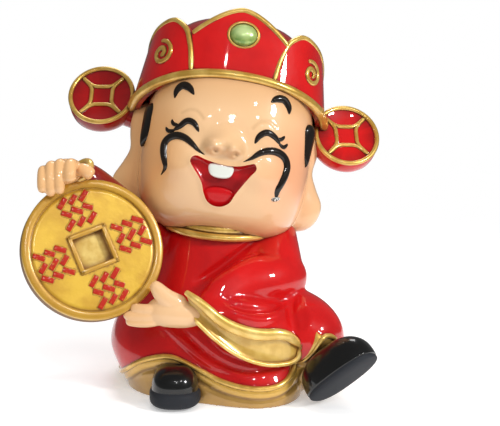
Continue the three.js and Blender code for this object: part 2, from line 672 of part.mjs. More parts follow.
const THIGH = [[4, -2, 12], [14, -9, 16], [22, -16, 16.8], [28.8, -25.2, 12.8]];
const THIGH_SIZE = stations([[0, 11, 11], [0.45, 10.8, 10.6], [0.8, 9.4, 9], [1, 7.6, 7.2]]);
const UNDER_THIGH = [[8, -4, 4], [18, -12, 5], [27.4, -22, 8.4]];
const UNDER_THIGH_SIZE = stations([[0, 9, 7], [0.5, 8.8, 6.6], [1, 6.6, 5.4]]);
const LEFT_LAP = [[-6, 0, 9], [-13, -8, 8], [-13.4, -15, 6.6], [-11.4, -20.4, 4.6]];
const LEFT_LAP_SIZE = stations([[0, 11, 11], [0.5, 9.6, 10], [1, 7.2, 7]]);

// The robe over both thighs, and the cloth that hangs from the raised one to the floor.
const makeLaps = () => join([
  limb(THIGH, THIGH_SIZE, vec(0, 0, 1), { around: 12, along: 8, blunt: 3.4 }),
  limb(UNDER_THIGH, UNDER_THIGH_SIZE, vec(0, 0, 1), { around: 9, along: 6, blunt: 3.4 }),
  limb(LEFT_LAP, LEFT_LAP_SIZE, vec(0, 0, 1), { around: 10, along: 6, blunt: 3.4 }),
]);

// The middle line of the gold border of the skirt: over both shoes in front, along the floor behind.
const HEM = [[-24.2, -8.6, 2], [-21.7, -15, 5], [-17, -21, 9.2], [-11.3, -24.4, 10.4], [-4.6, -26.6, 7.8],
  [1.4, -28.8, 5.2], [9.4, -30.4, 3.6], [16.8, -29.8, 4.2], [23, -28.6, 7.4], [26, -28.4, 12.6],
  [28.8, -28.8, 16.4], [31.6, -27.6, 16.4], [33.6, -24.4, 12.6], [30.4, -19.2, 7.4], [25.8, -11, 3.2],
  [23.6, 0, 1.6], [16, 12.4, 1.6], [-2, 18.8, 1.6], [-18.2, 12.6, 1.6], [-24.8, 2, 1.6]];
const hemCurve = curveThrough(HEM, true);

function makeHem() {
  const centre = (u) => hemCurve.getPoint((u + 1) % 1);
  const out = (u) => {
    const point = centre(u);
    return vec(point.x + 1, point.y + 4, -4).normalize();
  };
  return roll(centre, out, share(HEM_HEIGHT) / 2, share(HEM_THICKNESS) / 2, 34, 4);
}

const COLLAR = {
  centre: [0.6, -0.4], radius: 14.2, flare: 1.1, top: 43.5, step: 1.8, slant: -0.09, forward: 0.05,
};

function makeCollar() {
  const radius = share(COLLAR_THICKNESS) / 2;
  const out = (u) => vec(Math.sin(2 * Math.PI * u), -Math.cos(2 * Math.PI * u), 0);
  return join([0, 1].map((k) => {
    const wide = COLLAR.radius + COLLAR.flare * k;
    const centre = (u) => {
      const way = out(u).multiplyScalar(wide);
      const z = COLLAR.top - COLLAR.step * k + COLLAR.slant * way.x + COLLAR.forward * way.y;
      return vec(COLLAR.centre[0] + way.x, COLLAR.centre[1] + way.y, z);
    };
    return roll(centre, out, radius * 0.85, radius, 20, 4);
  }));
}

// Sleeves

const SHOULDER = { raised: vec(-10.6, -1, 31.6), lowered: vec(13, 4, 43.8) };
const ELBOW = { upper: vec(16.8, -16, 27), fore: vec(21.6, -7.4, 29.2) };
const RAISED_WRIST = [8, 3.6, 6.2];
const RAISED_SIZE = stations([[0, 6.6, 6.6], [0.6, 5.4, 5.4], [1, 4, 4]]);
const RAISED_CUFF = { radius: 3.1, back: 0.8 };

function makeRaisedSleeve() {
  const wrist = beside(onRim(HIGH_HAND, -COIN_THICKNESS / 2), RAISED_WRIST);
  const bend = SHOULDER.raised.clone().lerp(wrist, 0.5).add(vec(0, 1, -0.8));
  const arm = limb([SHOULDER.raised, bend, wrist], RAISED_SIZE, vec(0, -1, 0),
    { around: 9, along: 6, blunt: 4 });
  const radius = share(CUFF_THICKNESS) / 2;
  const way = wrist.clone().sub(bend).normalize();
  const across = vec().crossVectors(way, vec(0, 0, 1)).normalize();
  const up = vec().crossVectors(across, way);
  const middle = wrist.clone().addScaledVector(way, -RAISED_CUFF.back);
  const spoke = (u) => across.clone().multiplyScalar(Math.cos(2 * Math.PI * u))
    .addScaledVector(up, Math.sin(2 * Math.PI * u));
  const cuff = roll((u) => middle.clone().addScaledVector(spoke(u), RAISED_CUFF.radius), spoke,
    radius, radius, 10, 4);
  return join([arm, cuff]);
}

// The lowered arm is inside a wide sleeve that hangs across the lap to a long gold mouth.
const LOWERED_WRIST = [13, -4.6, -3.2];
const UPPER_ARM_SIZE = [7.3, 7];
const FORE_ARM = [vec(14.6, -15, 30), vec(5.6, -20, 28.8)];
const FORE_ARM_SIZE = stations([[0, 6.4, 6.2], [0.5, 6.6, 6], [1, 3.8, 3.6]]);
const DRAPE = [vec(4, -26, 21.4), vec(13, -23.6, 18.2), vec(19.4, -18.6, 18.2)];
const DRAPE_SIZE = stations([[0, 4, 3.4], [0.35, 7.2, 5.4], [0.7, 8, 6.4], [1, 7.4, 6]]);

function makeWideSleeve() {
  const wrist = beside(onRim(LOW_HAND, -COIN_THICKNESS / 2), LOWERED_WRIST);
  const front = vec(0, -1, 0.2);
  return join([
    limb([SHOULDER.lowered, ELBOW.upper], () => UPPER_ARM_SIZE, front, { around: 11, along: 7, blunt: 2.6 }),
    limb([ELBOW.fore, ...FORE_ARM, wrist], FORE_ARM_SIZE, front, { around: 11, along: 8, blunt: 2.8 }),
    limb([wrist, ...DRAPE], DRAPE_SIZE, front, { around: 12, along: 8, blunt: 3.4 }),
  ]);
}

// The upper and lower lip of the mouth of the wide sleeve, and the gold lining between them.
const CUFF_END = [22.2, -26.2, 15.2];
const CUFF_UPPER = [
  [-7.5, -30, 30.6], [-3.6, -31.4, 28], [2.6, -31.8, 22.8], [10.2, -31, 19.7], [17.8, -28.8, 18.8], CUFF_END,
];
const CUFF_LOWER = [
  [-5, -31.8, 23.6], [0, -32.2, 18.8], [6.2, -31.8, 14.2], [13.6, -30.4, 11.4], [20.8, -27.4, 11.8], CUFF_END,
];
const LINING = { sunk: 0.9, thickness: 5 };

function makeCuffs() {
  const radius = share(CUFF_THICKNESS) / 2;
  const [high, low] = [curveThrough(CUFF_UPPER), curveThrough(CUFF_LOWER)];
  const lining = plate(8, 1, LINING.thickness, (u, v, depth) => low.getPoint(u).lerp(high.getPoint(u), v)
    .add(vec(0, depth + LINING.sunk, -0.3 * depth)));
  return join([tube(CUFF_UPPER, radius, 10, 4), tube(CUFF_LOWER, radius, 10, 4), lining]);
}

// A shoe is round at both ends: a domed upper on a thick sole with steep sides. Its middle is the middle
// of the sole.
const RIGHT_SHOE = { middle: vec(-10.4, -25, 2), toe: vec(0, -1, 0), sole: vec(0, 0, -1) };
const LEFT_SHOE = { middle: vec(32.6, -32, 8.6), toe: vec(0.74, -0.2, 0.66), sole: vec(0.52, -0.58, -0.6) };
const SOLE_FORM = { wide: 1, edge: 3.2 };
const UPPER_FORM = { wide: 0.96, edge: 2.6 };
const SHOE_PLAN = 2.5;

function makeShoe({ middle, toe, sole }) {
  const forward = toe.clone().normalize();
  const across = vec().crossVectors(forward, sole).normalize();
  const down = vec().crossVectors(across, forward).normalize();
  const [length, width, halfSole] = [SHOE_LENGTH, SHOE_WIDTH, SOLE_THICKNESS].map((size) => share(size) / 2);
  const layer = ({ wide, edge }, up, top) => ball(14, up, (d) => {
    const plan = (Math.abs(d.x) ** SHOE_PLAN + Math.abs(d.y) ** SHOE_PLAN) ** (1 / SHOE_PLAN) || 1;
    const level = 2 * Math.asin(d.z) / Math.PI;
    const reach = wide * Math.max(1 - Math.abs(level) ** edge, 0) ** (1 / edge) / plan;
    return middle.clone()
      .addScaledVector(across, d.x * reach * width)
      .addScaledVector(forward, d.y * reach * length)
      .addScaledVector(down, -level * (level > 0 ? top : halfSole));
  });
  return join([layer(SOLE_FORM, 6, halfSole), layer(UPPER_FORM, 7, share(SHOE_HEIGHT) - halfSole)]);
}

// The figure

function makeFigure() {
  const sides = [-1, 1];
  const head = join([makeSkull(), makeNose(), ...sides.map(makeCheek)]).subtract(mouthCut());
  const lines = sides.flatMap((side) => [
    faceLine(MOUSTACHE, side, MOUSTACHE_THICKNESS, 8),
    faceLine(BROW, side, BROW_THICKNESS, 4),
    faceLine(EYE, side, EYE_THICKNESS, 4),
  ]);
  const features = [makeTooth(), makeTongue(), ...lines, ...sides.map(makeHairPatch), ...sides.map(makeEar)];
  const hat = [makeCrown(), makePanel(), makePanelPiping(), makeBand(), makeGem(), ...sides.map(makeLobe),
    ...sides.map(makeLobePiping), ...sides.map(makeSpiral), ...sides.map(makeWing)];
  const body = [makeRobe(), makeLaps(), makeHem(), makeCollar(), makeRaisedSleeve(), makeWideSleeve(),
    makeCuffs()];
  const held = [makeCoin(), makeHighHand(), makeLowHand()];
  const shoes = [LEFT_SHOE, RIGHT_SHOE].map(makeShoe);
  // Everything under the floor is cut away, as wide as the figure is tall and twice as deep as the robe
  // reaches.
  const wide = share(FIGURE_HEIGHT);
  const below = new THREE.BoxGeometry(wide, wide, -2 * ROBE.low).translate(0, 0, ROBE.low);
  return join([head, ...features, ...hat, ...body, ...held, ...shoes]).subtract(solid(below));
}

// The casting has no hollows inside: a closed space left where forms meet is filled, by leaving out
// the shell of triangles around it, whose volume is negative.
function toGeometry(manifold) {
  const { vertProperties, triVerts } = manifold.getMesh();
  const shellOf = Array.from({ length: vertProperties.length / 3 }, (_, k) => k);
  const root = (k) => {
    let top = k;
    while (shellOf[top] !== top) top = shellOf[top];
    shellOf[k] = top;
    return top;
  };
  for (let k = 0; k < triVerts.length; k += 3) {
    shellOf[root(triVerts[k])] = root(triVerts[k + 1]);
    shellOf[root(triVerts[k + 1])] = root(triVerts[k + 2]);
  }
  const corner = (k) => vec().fromArray(vertProperties, 3 * k);
  const volumes = new Map();
  for (let k = 0; k < triVerts.length; k += 3) {
    const [a, b, c] = [...triVerts.slice(k, k + 3)].map(corner);
    const shell = root(triVerts[k]);
    volumes.set(shell, (volumes.get(shell) ?? 0) + a.dot(b.cross(c)));
  }
  const geometry = new THREE.BufferGeometry();
  geometry.setAttribute('position', new THREE.BufferAttribute(vertProperties, 3));
  geometry.setIndex([...triVerts].filter((_, k) => volumes.get(root(triVerts[k - k % 3])) > 0));
  return geometry;
}

const paint = new THREE.MeshStandardMaterial({ color: 0xb80f12, roughness: 0.25, metalness: 0 });
const figure = new THREE.Mesh(toGeometry(makeFigure()), paint);
figure.name = 'caishen_figure';

const group = new THREE.Group();
group.add(figure);

export default group;
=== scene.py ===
import math

import bmesh
import bpy
import numpy as np
from mathutils import Matrix, Vector
from mathutils.bvhtree import BVHTree


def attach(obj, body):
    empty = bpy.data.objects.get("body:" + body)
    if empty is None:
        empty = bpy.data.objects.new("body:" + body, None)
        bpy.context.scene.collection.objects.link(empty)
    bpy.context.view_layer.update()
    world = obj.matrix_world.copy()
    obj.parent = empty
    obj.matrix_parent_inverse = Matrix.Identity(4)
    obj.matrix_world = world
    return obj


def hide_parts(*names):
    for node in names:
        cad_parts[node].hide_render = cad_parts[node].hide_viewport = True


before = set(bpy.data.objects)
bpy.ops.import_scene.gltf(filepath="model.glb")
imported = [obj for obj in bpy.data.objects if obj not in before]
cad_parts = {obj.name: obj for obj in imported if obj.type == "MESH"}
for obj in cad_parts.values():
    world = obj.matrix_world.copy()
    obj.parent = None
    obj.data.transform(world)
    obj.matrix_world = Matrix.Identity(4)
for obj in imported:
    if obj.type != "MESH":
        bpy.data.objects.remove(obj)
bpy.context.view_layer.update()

# Head
# One egg-shaped form with two long-lobed ears, cast in resin and sprayed in a warm skin tone. The
# cheeks, nose and lids are modelled in the clay, and an orange blush is sprayed on the sides of the face.
# Painted shade darkens the left side, the chin, the forehead under the hat, the nose, the lid creases
# and the hollows.

# One share and one millimetre in metres, and a full turn.
UNIT = 0.0022
MM = 0.001
FULL = 2 * math.pi


def share(millimetres):
    return millimetres * MM / UNIT


def mix(low, high, part):
    return low + (high - low) * part


def clamp(value, low=-1, high=1):
    return min(max(value, low), high)


def signed_power(value, power):
    return math.copysign(abs(value) ** power, value)


def bump(x, centre, width):
    return math.exp(-(((x - centre) / width) ** 2))


def level_of(d):
    """The height of a direction on a ball, from -1 at its foot to 1 at its top, in even steps."""
    return 2 * math.asin(clamp(d.z)) / math.pi


def hermite(low, slope_low, high, slope_high, s):
    """Goes smoothly from low to high as s goes from 0 to 1, with a slope at each end."""
    return (low * (2 * s**3 - 3 * s**2 + 1) + slope_low * (s**3 - 2 * s**2 + s)
            + high * (3 * s**2 - 2 * s**3) + slope_high * (s**3 - s**2))


class Curve:
    """A smooth line through points, read by a share of its way from 0 to 1."""

    def __init__(self, points, closed=False, fine=24):
        points = [Vector(point) for point in points]
        self.closed = closed
        if closed:
            around = [points[-1], *points, points[0], points[1]]
        else:
            around = [2 * points[0] - points[1], *points, 2 * points[-1] - points[-2]]
        self.table = []
        for k in range(len(around) - 3):
            p = around[k:k + 4]
            gaps = [max((p[j + 1] - p[j]).length ** 0.5, 1e-4) for j in range(3)]
            low = (p[1] - p[0]) / gaps[0] - (p[2] - p[0]) / (gaps[0] + gaps[1]) + (p[2] - p[1]) / gaps[1]
            high = (p[2] - p[1]) / gaps[1] - (p[3] - p[1]) / (gaps[1] + gaps[2]) + (p[3] - p[2]) / gaps[2]
            self.table += [hermite(p[1], low * gaps[1], p[2], high * gaps[1], j / fine) for j in range(fine)]
        self.table.append(around[-2].copy())

    def point(self, t):
        t = t % 1 if self.closed else clamp(t, 0)
        place = t * (len(self.table) - 1)
        k = min(int(place), len(self.table) - 2)
        return self.table[k].lerp(self.table[k + 1], place - k)

    def points(self, count):
        return [self.point(k / count) for k in range(count + 1)]

    def way(self, t):
        return (self.point(t + 0.01) - self.point(t - 0.01)).normalized()


def curve_in_front(line, closed=False):
    """A curve through points that are given across and up."""
    return Curve([(x, 0, z) for x, z in line], closed)


class Stations:
    """Rows of a key and values, read as smooth functions of the key."""

    def __init__(self, *rows):
        self.rows = rows

    def __call__(self, key):
        rows = self.rows
        k = 0
        while k < len(rows) - 2 and key > rows[k + 1][0]:
            k += 1
        low, high = rows[k], rows[k + 1]
        span = high[0] - low[0]
        s = clamp((key - low[0]) / span, 0)
        before, after = rows[max(k - 1, 0)], rows[min(k + 2, len(rows) - 1)]
        values = []
        for j in range(1, len(low)):
            slope_low = (high[j] - before[j]) / (high[0] - before[0]) * span
            slope_high = (after[j] - low[j]) / (after[0] - low[0]) * span
            values.append(hermite(low[j], slope_low, high[j], slope_high, s))
        return values


def ball(form, around, up, place):
    """A ball whose poles are up and down, reshaped by a function of the unit direction."""
    made = bmesh.ops.create_uvsphere(form, u_segments=around, v_segments=up, radius=1)
    for vert in made["verts"]:
        vert.co = place(vert.co.normalized()) * UNIT


def limb(form, points, size, outward, around, along, blunt):
    """A round-ended form along a curve. size(t) gives its half height and half thickness."""
    curve = points if isinstance(points, Curve) else Curve(points)
    made = bmesh.ops.create_uvsphere(form, u_segments=around, v_segments=along, radius=1)
    for vert in made["verts"]:
        p = vert.co
        t = math.acos(clamp(p.z)) / math.pi
        ring = math.hypot(p.x, p.y)
        end = max(1 - abs(2 * t - 1) ** (blunt * 2), 0) ** (1 / blunt)
        radial = end / ring if ring > 1e-6 else 0
        tangent = curve.way(t)
        side = outward.cross(tangent).normalized()
        out = tangent.cross(side).normalized()
        height, thickness = size(t)
        vert.co = (curve.point(t) + side * (p.x * radial * height)
                   + out * (p.y * radial * thickness)) * UNIT


def even(half):
    """The size of a limb that is round and equally thick all along."""
    return lambda t: (half, half)


HEAD_CENTRE = Vector((2.5, 0.9, 61.6))
HEAD_BACK, HEAD_LEAN = math.radians(12), math.radians(8)
HEAD_TURN = Matrix.Rotation(-HEAD_BACK, 3, "X") @ Matrix.Rotation(HEAD_LEAN, 3, "Y")


def on_head(x, y, z):
    return HEAD_TURN @ Vector((x, y, z)) + HEAD_CENTRE


def head_way(x, y, z):
    return (HEAD_TURN @ Vector((x, y, z))).normalized()


HEAD_OUT = head_way(0, -1, 0)
# Half sizes of the skull, and how square its outline is above, below and in depth.
SKULL = {"width": 22.6, "depth": 20.5, "crown": 29, "chin": 23.8, "upper": 2.5, "lower": 3.7, "front": 2.4}


def face_reach(x, z):
    """How far a point of the face, seen from the front, is from its middle to its edge."""
    power = SKULL["upper"] if z > 0 else SKULL["lower"]
    height = SKULL["crown"] if z > 0 else SKULL["chin"]
    return (abs(x / SKULL["width"]) ** power + abs(z / height) ** power) ** (1 / power)


def face_depth(x, z):
    return -SKULL["depth"] * max(1 - face_reach(x, z) ** SKULL["front"], 0) ** (1 / SKULL["front"])


# Bulges and dents of the face: middle, half sizes, rise and steepness.
FACE_FORMS = [
    (-11.3, -4.2, 6.0, 5.2, 1.9, 1.5), (11.7, -4.4, 6.0, 5.2, 1.9, 1.5),
    (-0.2, 1.0, 3.9, 3.0, 2.6, 1.3), (-3.3, -0.4, 2.0, 1.9, 2.1, 1.4), (2.8, -0.6, 2.0, 1.9, 2.1, 1.4),
    (-2.2, -1.3, 0.65, 0.5, -1.4, 1), (3.1, -1.6, 0.65, 0.5, -1.4, 1),
    (-10.6, 5.4, 5.4, 3.6, 0.5, 1.6), (10.8, 5.2, 5.4, 3.6, 0.5, 1.6),
    (0.5, -17.6, 6, 2.4, 0.6, 1),
]
MOUTH_EDGE = curve_in_front([
    (-8.25, -4.7), (-7.7, -3.5), (-6.6, -3.2), (-4.6, -3.8), (-1.8, -4.4), (1.45, -4.7), (4.55, -4.4),
    (6.8, -3.7), (8.2, -3.4), (8.8, -4.7), (7.6, -6.5), (6.2, -8.6), (4.4, -11.5), (3.1, -14), (1.3, -15.2),
    (-0.8, -15.3), (-2.6, -14.4), (-3.8, -12.4), (-4.6, -10), (-5.8, -8.1), (-7.2, -6.4)], closed=True)
MOUTH_MIDDLE = Vector((0.3, 0, -8.2))
MOUTH_STEPS = 168
mouth_outline = np.array(MOUTH_EDGE.points(MOUTH_STEPS))[:-1, [0, 2]]
LIP_RISE = 0.28
LIP_WIDTH = 0.75

# A faint crease over each laughing eye.
CREASES = np.concatenate([curve_in_front(line).points(40) for line in (
    [(-12.2, 7.2), (-10.4, 8.2), (-8.4, 8.0), (-6.6, 6.4)],
    [(6.4, 5.6), (7.8, 7.4), (10, 8), (12.2, 6.8)])])[:, [0, 2]]
CREASE = {"depth": 0.16, "width": 0.45, "z": 7, "reach": 3}


def crease_share(x, z):
    if abs(z - CREASE["z"]) > CREASE["reach"]:
        return 0
    return bump(np.hypot(CREASES[:, 0] - x, CREASES[:, 1] - z).min(), 0, CREASE["width"])


def face_rise(x, z):
    rise = -CREASE["depth"] * crease_share(x, z)
    for cx, cz, half_x, half_z, height, steep in FACE_FORMS:
        q = ((x - cx) / half_x) ** 2 + ((z - cz) / half_z) ** 2
        if q < 9:
            rise += height * math.exp(-(q**steep))
    # The lips stand up only close to the mouth.
    if abs(x) < 10.5 and -17.5 < z < -2:
        near = np.hypot(mouth_outline[:, 0] - x, mouth_outline[:, 1] - z).min()
        rise += LIP_RISE * bump(near, 0, LIP_WIDTH)
    return rise


def face_point(x, z, raise_by=0):
    """A point of the face as modelled, seen from the front of the head, lifted a little."""
    return on_head(x, face_depth(x, z) - face_rise(x, z) - raise_by, z)


EAR = {"root": SKULL["width"] - 2.1, "shift": -1.9, "y": 2.4, "z": -4.6, "half": 14.9}
# Height on the ear, its reach outwards and its half thickness.
EAR_FORM = Stations(
    (-1, 0.3, 0.3), (-0.92, 3.8, 2.6), (-0.74, 6.2, 3.8), (-0.45, 7, 4.2), (-0.17, 5, 3.8),
    (0.1, 3.4, 3.4), (0.4, 4, 3.6), (0.8, 4, 3.4), (1, 0.3, 0.3))


def in_scene(name, data):
    made = bpy.data.objects.new(name, data)
    bpy.context.scene.collection.objects.link(made)
    return made


def shaped(name, form, paint=None):
    """Turns a form into an object of the scene."""
    mesh = bpy.data.meshes.new(name)
    form.to_mesh(mesh)
    form.free()
    if paint:
        mesh.materials.append(paint.material)
    return in_scene(name, mesh)


def fused(form, voxel, rounds):
    """Runs overlapping forms together into one skin, as wet clay does, and evens it."""
    clay = shaped("clay", form)
    mesh = clay.data
    remesh = clay.modifiers.new("fuse", "REMESH")
    remesh.mode = "VOXEL"
    remesh.voxel_size = voxel
    joined = bmesh.new()
    joined.from_object(clay, bpy.context.evaluated_depsgraph_get())
    bpy.data.objects.remove(clay)
    bpy.data.meshes.remove(mesh)
    for _ in range(rounds):
        bmesh.ops.smooth_vert(
            joined, verts=joined.verts, factor=0.5, use_axis_x=True, use_axis_y=True, use_axis_z=True)
    return joined


class Field:
    """A number that changes over a surface. Sums and products of fields add Math nodes."""

    def __init__(self, paint, socket):
        self.paint = paint
        self.socket = socket

    def math(self, operation, *values):
        return self.paint.node("ShaderNodeMath", {"operation": operation}, dict(enumerate(values)))

    def __add__(self, other):
        return self.math("ADD", self, other)

    def __sub__(self, other):
        return self.math("SUBTRACT", self, other)

    def __rsub__(self, other):
        return self.math("SUBTRACT", other, self)

    def __mul__(self, other):
        return self.math("MULTIPLY", self, other)

    def __truediv__(self, other):
        return self.math("DIVIDE", self, other)

    def __pow__(self, other):
        return self.math("POWER", self, other)

    __radd__ = __add__
    __rmul__ = __mul__


class Paint:
    """A painted finish: one lacquered shader, and the nodes that vary it."""

    def __init__(self, name, **constant):
        self.material = bpy.data.materials.new(name)
        self.material.use_nodes = True
        self.tree = self.material.node_tree
        self.shader = self.tree.nodes["Principled BSDF"]
        self.place = None
        for socket, value in constant.items():
            self.set(socket.replace("_", " "), value)

    def set(self, socket, value):
        self.feed(self.shader.inputs[socket], value)

    def feed(self, socket, value):
        if isinstance(value, Field):
            self.tree.links.new(value.socket, socket)
        elif isinstance(value, tuple) and len(value) == 3 and socket.type == "RGBA":
            socket.default_value = (*value, 1)
        else:
            socket.default_value = value

    def node(self, kind, settings, values, out=0):
        made = self.tree.nodes.new(kind)
        for key, value in settings.items():
            setattr(made, key, value)
        for key, value in values.items():
            self.feed(made.inputs[key], value)
        return Field(self, made.outputs[out])

    def where(self):
        if self.place is None:
            self.place = self.node("ShaderNodeTexCoord", {}, {}, "Object")
        return self.place

    def noise(self, size, detail=2, rough=0.5):
        """Cloudy variation from 0 to 1 whose patches are about size millimetres."""
        return self.node("ShaderNodeTexNoise", {}, {
            "Vector": self.where(), "Scale": 1 / (size * MM), "Detail": detail, "Roughness": rough})

    def attribute(self, name):
        return self.node("ShaderNodeAttribute", {"attribute_name": name}, {}, "Fac")

    def step(self, value, low, high):
        """0 where the value is under low, 1 over high, and smooth between."""
        return self.node("ShaderNodeMapRange", {"interpolation_type": "SMOOTHSTEP"},
                         {0: value, 1: low, 2: high})

    def blend(self, part, first, second):
        return self.node("ShaderNodeMix", {"data_type": "RGBA"}, {0: part, 6: first, 7: second}, 2)

    def layered(self, tone, *coats):
        """Lays thin coats over a tone, one after the other: how much of each lies where, and its colour."""
        for part, colour in coats:
            tone = self.blend(part, tone, colour)
        return tone

    def axes(self, vector):
        """The x, y and z of a vector."""
        split = self.node("ShaderNodeSeparateXYZ", {}, {0: vector}).socket.node
        return [Field(self, socket) for socket in split.outputs]

    def uneven(self, *layers):
        """Small unevenness of the surface: pairs of patch size and depth, in millimetres."""
        height = 0
        for size, depth in layers:
            height = self.noise(size) * depth + height
        self.set("Normal", self.node("ShaderNodeBump", {}, {"Height": height, "Distance": MM}, "Normal"))


class HeadPlace:
    """The place of a surface point in the head's own frame, in shares: across, forward and up."""

    def __init__(self, paint):
        turn = HEAD_TURN.inverted().to_euler()
        moved = paint.node("ShaderNodeVectorMath", {"operation": "SUBTRACT"}, {
            0: paint.where(), 1: tuple(HEAD_CENTRE * UNIT)})
        turned = paint.node("ShaderNodeVectorRotate", {"rotation_type": "EULER_XYZ"}, {
            "Vector": moved, "Rotation": tuple(turn)})
        scaled = paint.node("ShaderNodeVectorMath", {"operation": "SCALE"}, {0: turned, "Scale": 1 / UNIT})
        self.x, self.y, self.z = paint.axes(scaled)


def patch(paint, x, z, middle, half, soft):
    """A soft oval patch of mist: 1 in its middle and 0 outside."""
    reach = (((x - middle[0]) / half[0]) ** 2 + ((z - middle[1]) / half[1]) ** 2) ** 0.5
    return 1 - paint.step(reach, 1 - soft, 1 + soft)


# How much of the space over each point the casting closes in: the paints darken with it as painted shade.
HOLLOW = "hollow"
skin = Paint("skin paint", Roughness=0.35, Specular_IOR_Level=0.2, Coat_Weight=0.9, Coat_Roughness=0.04)
at = HeadPlace(skin)
sides = at.x.math("ABSOLUTE", at.x)
face_side = 1 - skin.step(at.y, -6, 2)
# Painted shade darkens the skin on the left side, away from the light, under the chin, on the forehead under
# the hat band, round the lower edges of the nose, in the nostrils, in the lid creases and in the hollows.
left_side_shade = (1 - skin.step(at.x, -23, -7)) * 0.4
blush = patch(skin, sides, at.z, (20, -4), (7.5, 12), 0.75) * 0.6 * face_side
blush_tone = skin.blend(skin.step(at.x, -8, 8), (0.84, 0.38, 0.12), (0.87, 0.33, 0.17))
# Painted shade under the chin.
chin_shade = (1 - skin.step(at.z + skin.noise(12) * 2, -21.5, -16)) * skin.step(at.z, -29, -26) * 0.8
# Painted shade on the forehead under the hat band, stronger at the sides.
under_band_shade = skin.step(at.z, 8, 18) * (skin.step(sides, 6, 20) * 0.42 + 0.32)
# Painted shade round the lower edges of the nose.
nose_reach = (((at.x + 0.3) / 5) ** 2 + ((at.z - 0.3) / 3.2) ** 2) ** 0.5
nose_shade = skin.step(nose_reach, 0.55, 0.95) * (1 - skin.step(nose_reach, 0.95, 1.35))
nose_shade = nose_shade * (1 - skin.step(at.z, -0.4, 3.4)) * face_side * 0.18
# Painted shade in the nostrils.
nostrils = [patch(skin, at.x, at.z, middle, (0.75, 0.6), 0.6) * 0.35 * face_side
            for middle in ((-2.2, -1.2), (3.1, -1.5))]
skin.set("Base Color", skin.layered(
    skin.blend(skin.noise(30), (0.84, 0.535, 0.29), (0.8, 0.49, 0.25)),
    (left_side_shade, (0.8, 0.4, 0.12)), (blush, blush_tone), (chin_shade, (0.6, 0.2, 0.06)),
    (under_band_shade, (0.52, 0.2, 0.035)), (nose_shade, (0.44, 0.24, 0.09)),
    *[(nostril, (0.3, 0.14, 0.06)) for nostril in nostrils],
    # Painted shade in the lid creases and in the hollows.
    (skin.attribute("crease") * 0.35, (0.5, 0.3, 0.14)),
    (skin.step(skin.attribute(HOLLOW), 0.3, 1) * 0.35, (0.6, 0.3, 0.12))))
skin.uneven((9, 0.05), (2.5, 0.015))

pieces = []


def finished(name, form, paint, sharp=None):
    """Closes a form as a piece of the figure, in its paint, and fixes it to the casting."""
    bmesh.ops.remove_doubles(form, verts=form.verts, dist=1e-6)
    bmesh.ops.recalc_face_normals(form, faces=form.faces)
    piece = shaped(name, form, paint)
    piece.data.shade_smooth()
    if sharp:
        piece.data.set_sharp_from_angle(angle=math.radians(sharp))
    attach(piece, "root")
    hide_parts("caishen_figure")
    pieces.append(piece)
    return piece


def make_skull(direction):
    size = (face_reach(direction.x, direction.z) ** SKULL["front"]
            + abs(direction.y / SKULL["depth"]) ** SKULL["front"]) ** (-1 / SKULL["front"])
    return on_head(*(direction * size))


def ear_point(side):
    root = side * EAR["root"] + (EAR["shift"] if side < 0 else 0)

    def place(d):
        up = level_of(d)
        reach, thick = EAR_FORM(up)
        flat = math.hypot(d.x, d.y) or 1
        return on_head(root + d.x / flat * reach, EAR["y"] + d.y / flat * thick,
                       EAR["z"] + EAR["half"] * up)
    return place


# The relief of the face fades out where the head turns to its sides.
RELIEF_FROM, RELIEF_FADE = -2, 4
head_form = bmesh.new()
ball(head_form, 96, 64, make_skull)
for side in (-1, 1):
    ball(head_form, 32, 32, ear_point(side))
head_form = fused(head_form, 0.75 * MM, 6)
turn_back = HEAD_TURN.inverted()
crease_layer = head_form.verts.layers.float.new("crease")
for vert in head_form.verts:
    place = turn_back @ (vert.co / UNIT - HEAD_CENTRE)
    if place.y < RELIEF_FROM and face_reach(place.x, place.z) < 1:
        facing = min(1, (RELIEF_FROM - place.y) / RELIEF_FADE)
        vert.co += HEAD_OUT * (face_rise(place.x, place.z) * facing * UNIT)
        vert[crease_layer] = crease_share(place.x, place.z) * facing
head = finished("head", head_form, skin)

# Mouth
# A laughing mouth hollowed out of the face, painted a glossy red, with painted shade darkening it under
# the one broad white tooth. The tongue is a low red swelling at the bottom.

# How deep the hollow is and how far its cutter reaches out over the face. The cutter is as wide as the
# mouth but for its ends, which narrow and round off, and the floor is shallower near the lips.
MOUTH = {"depth": share(5), "over": 4, "steep": 10, "narrows": 0.36, "round": 0.8, "shallow": 0.45}
mouth_red = Paint("mouth red", Roughness=0.3, Specular_IOR_Level=0.2, Coat_Weight=0.9, Coat_Roughness=0.05)
inside = HeadPlace(mouth_red)
# Painted shade deep in the mouth, under the tooth.
mouth_shade = patch(mouth_red, inside.x, inside.z, (0.6, -9.2), (6, 2.2), 0.6) * 0.7
mouth_red.set("Base Color", mouth_red.blend(mouth_shade, (0.62, 0.01, 0.014), (0.22, 0.004, 0.006)))
mouth_red.uneven((3, 0.06))


def mouth_cut(d):
    """The hollow: its section is the outline of the mouth, its floor follows the face."""
    around = math.atan2(d.z, d.x) / FULL
    out = math.acos(clamp(-d.y)) / math.pi
    edge = MOUTH_EDGE.point(0.5 - around)
    wide = min(1, min(out, 1 - out) / MOUTH["narrows"]) ** MOUTH["round"]
    place = MOUTH_MIDDLE.lerp(edge, wide)
    seat = face_depth(place.x, place.z)
    if out < 0.5:
        return on_head(place.x, seat - MOUTH["over"] * min(1, (0.5 - out) * MOUTH["steep"]), place.z)
    return on_head(place.x, seat + MOUTH["depth"] * (1 - MOUTH["shallow"] * wide**6), place.z)


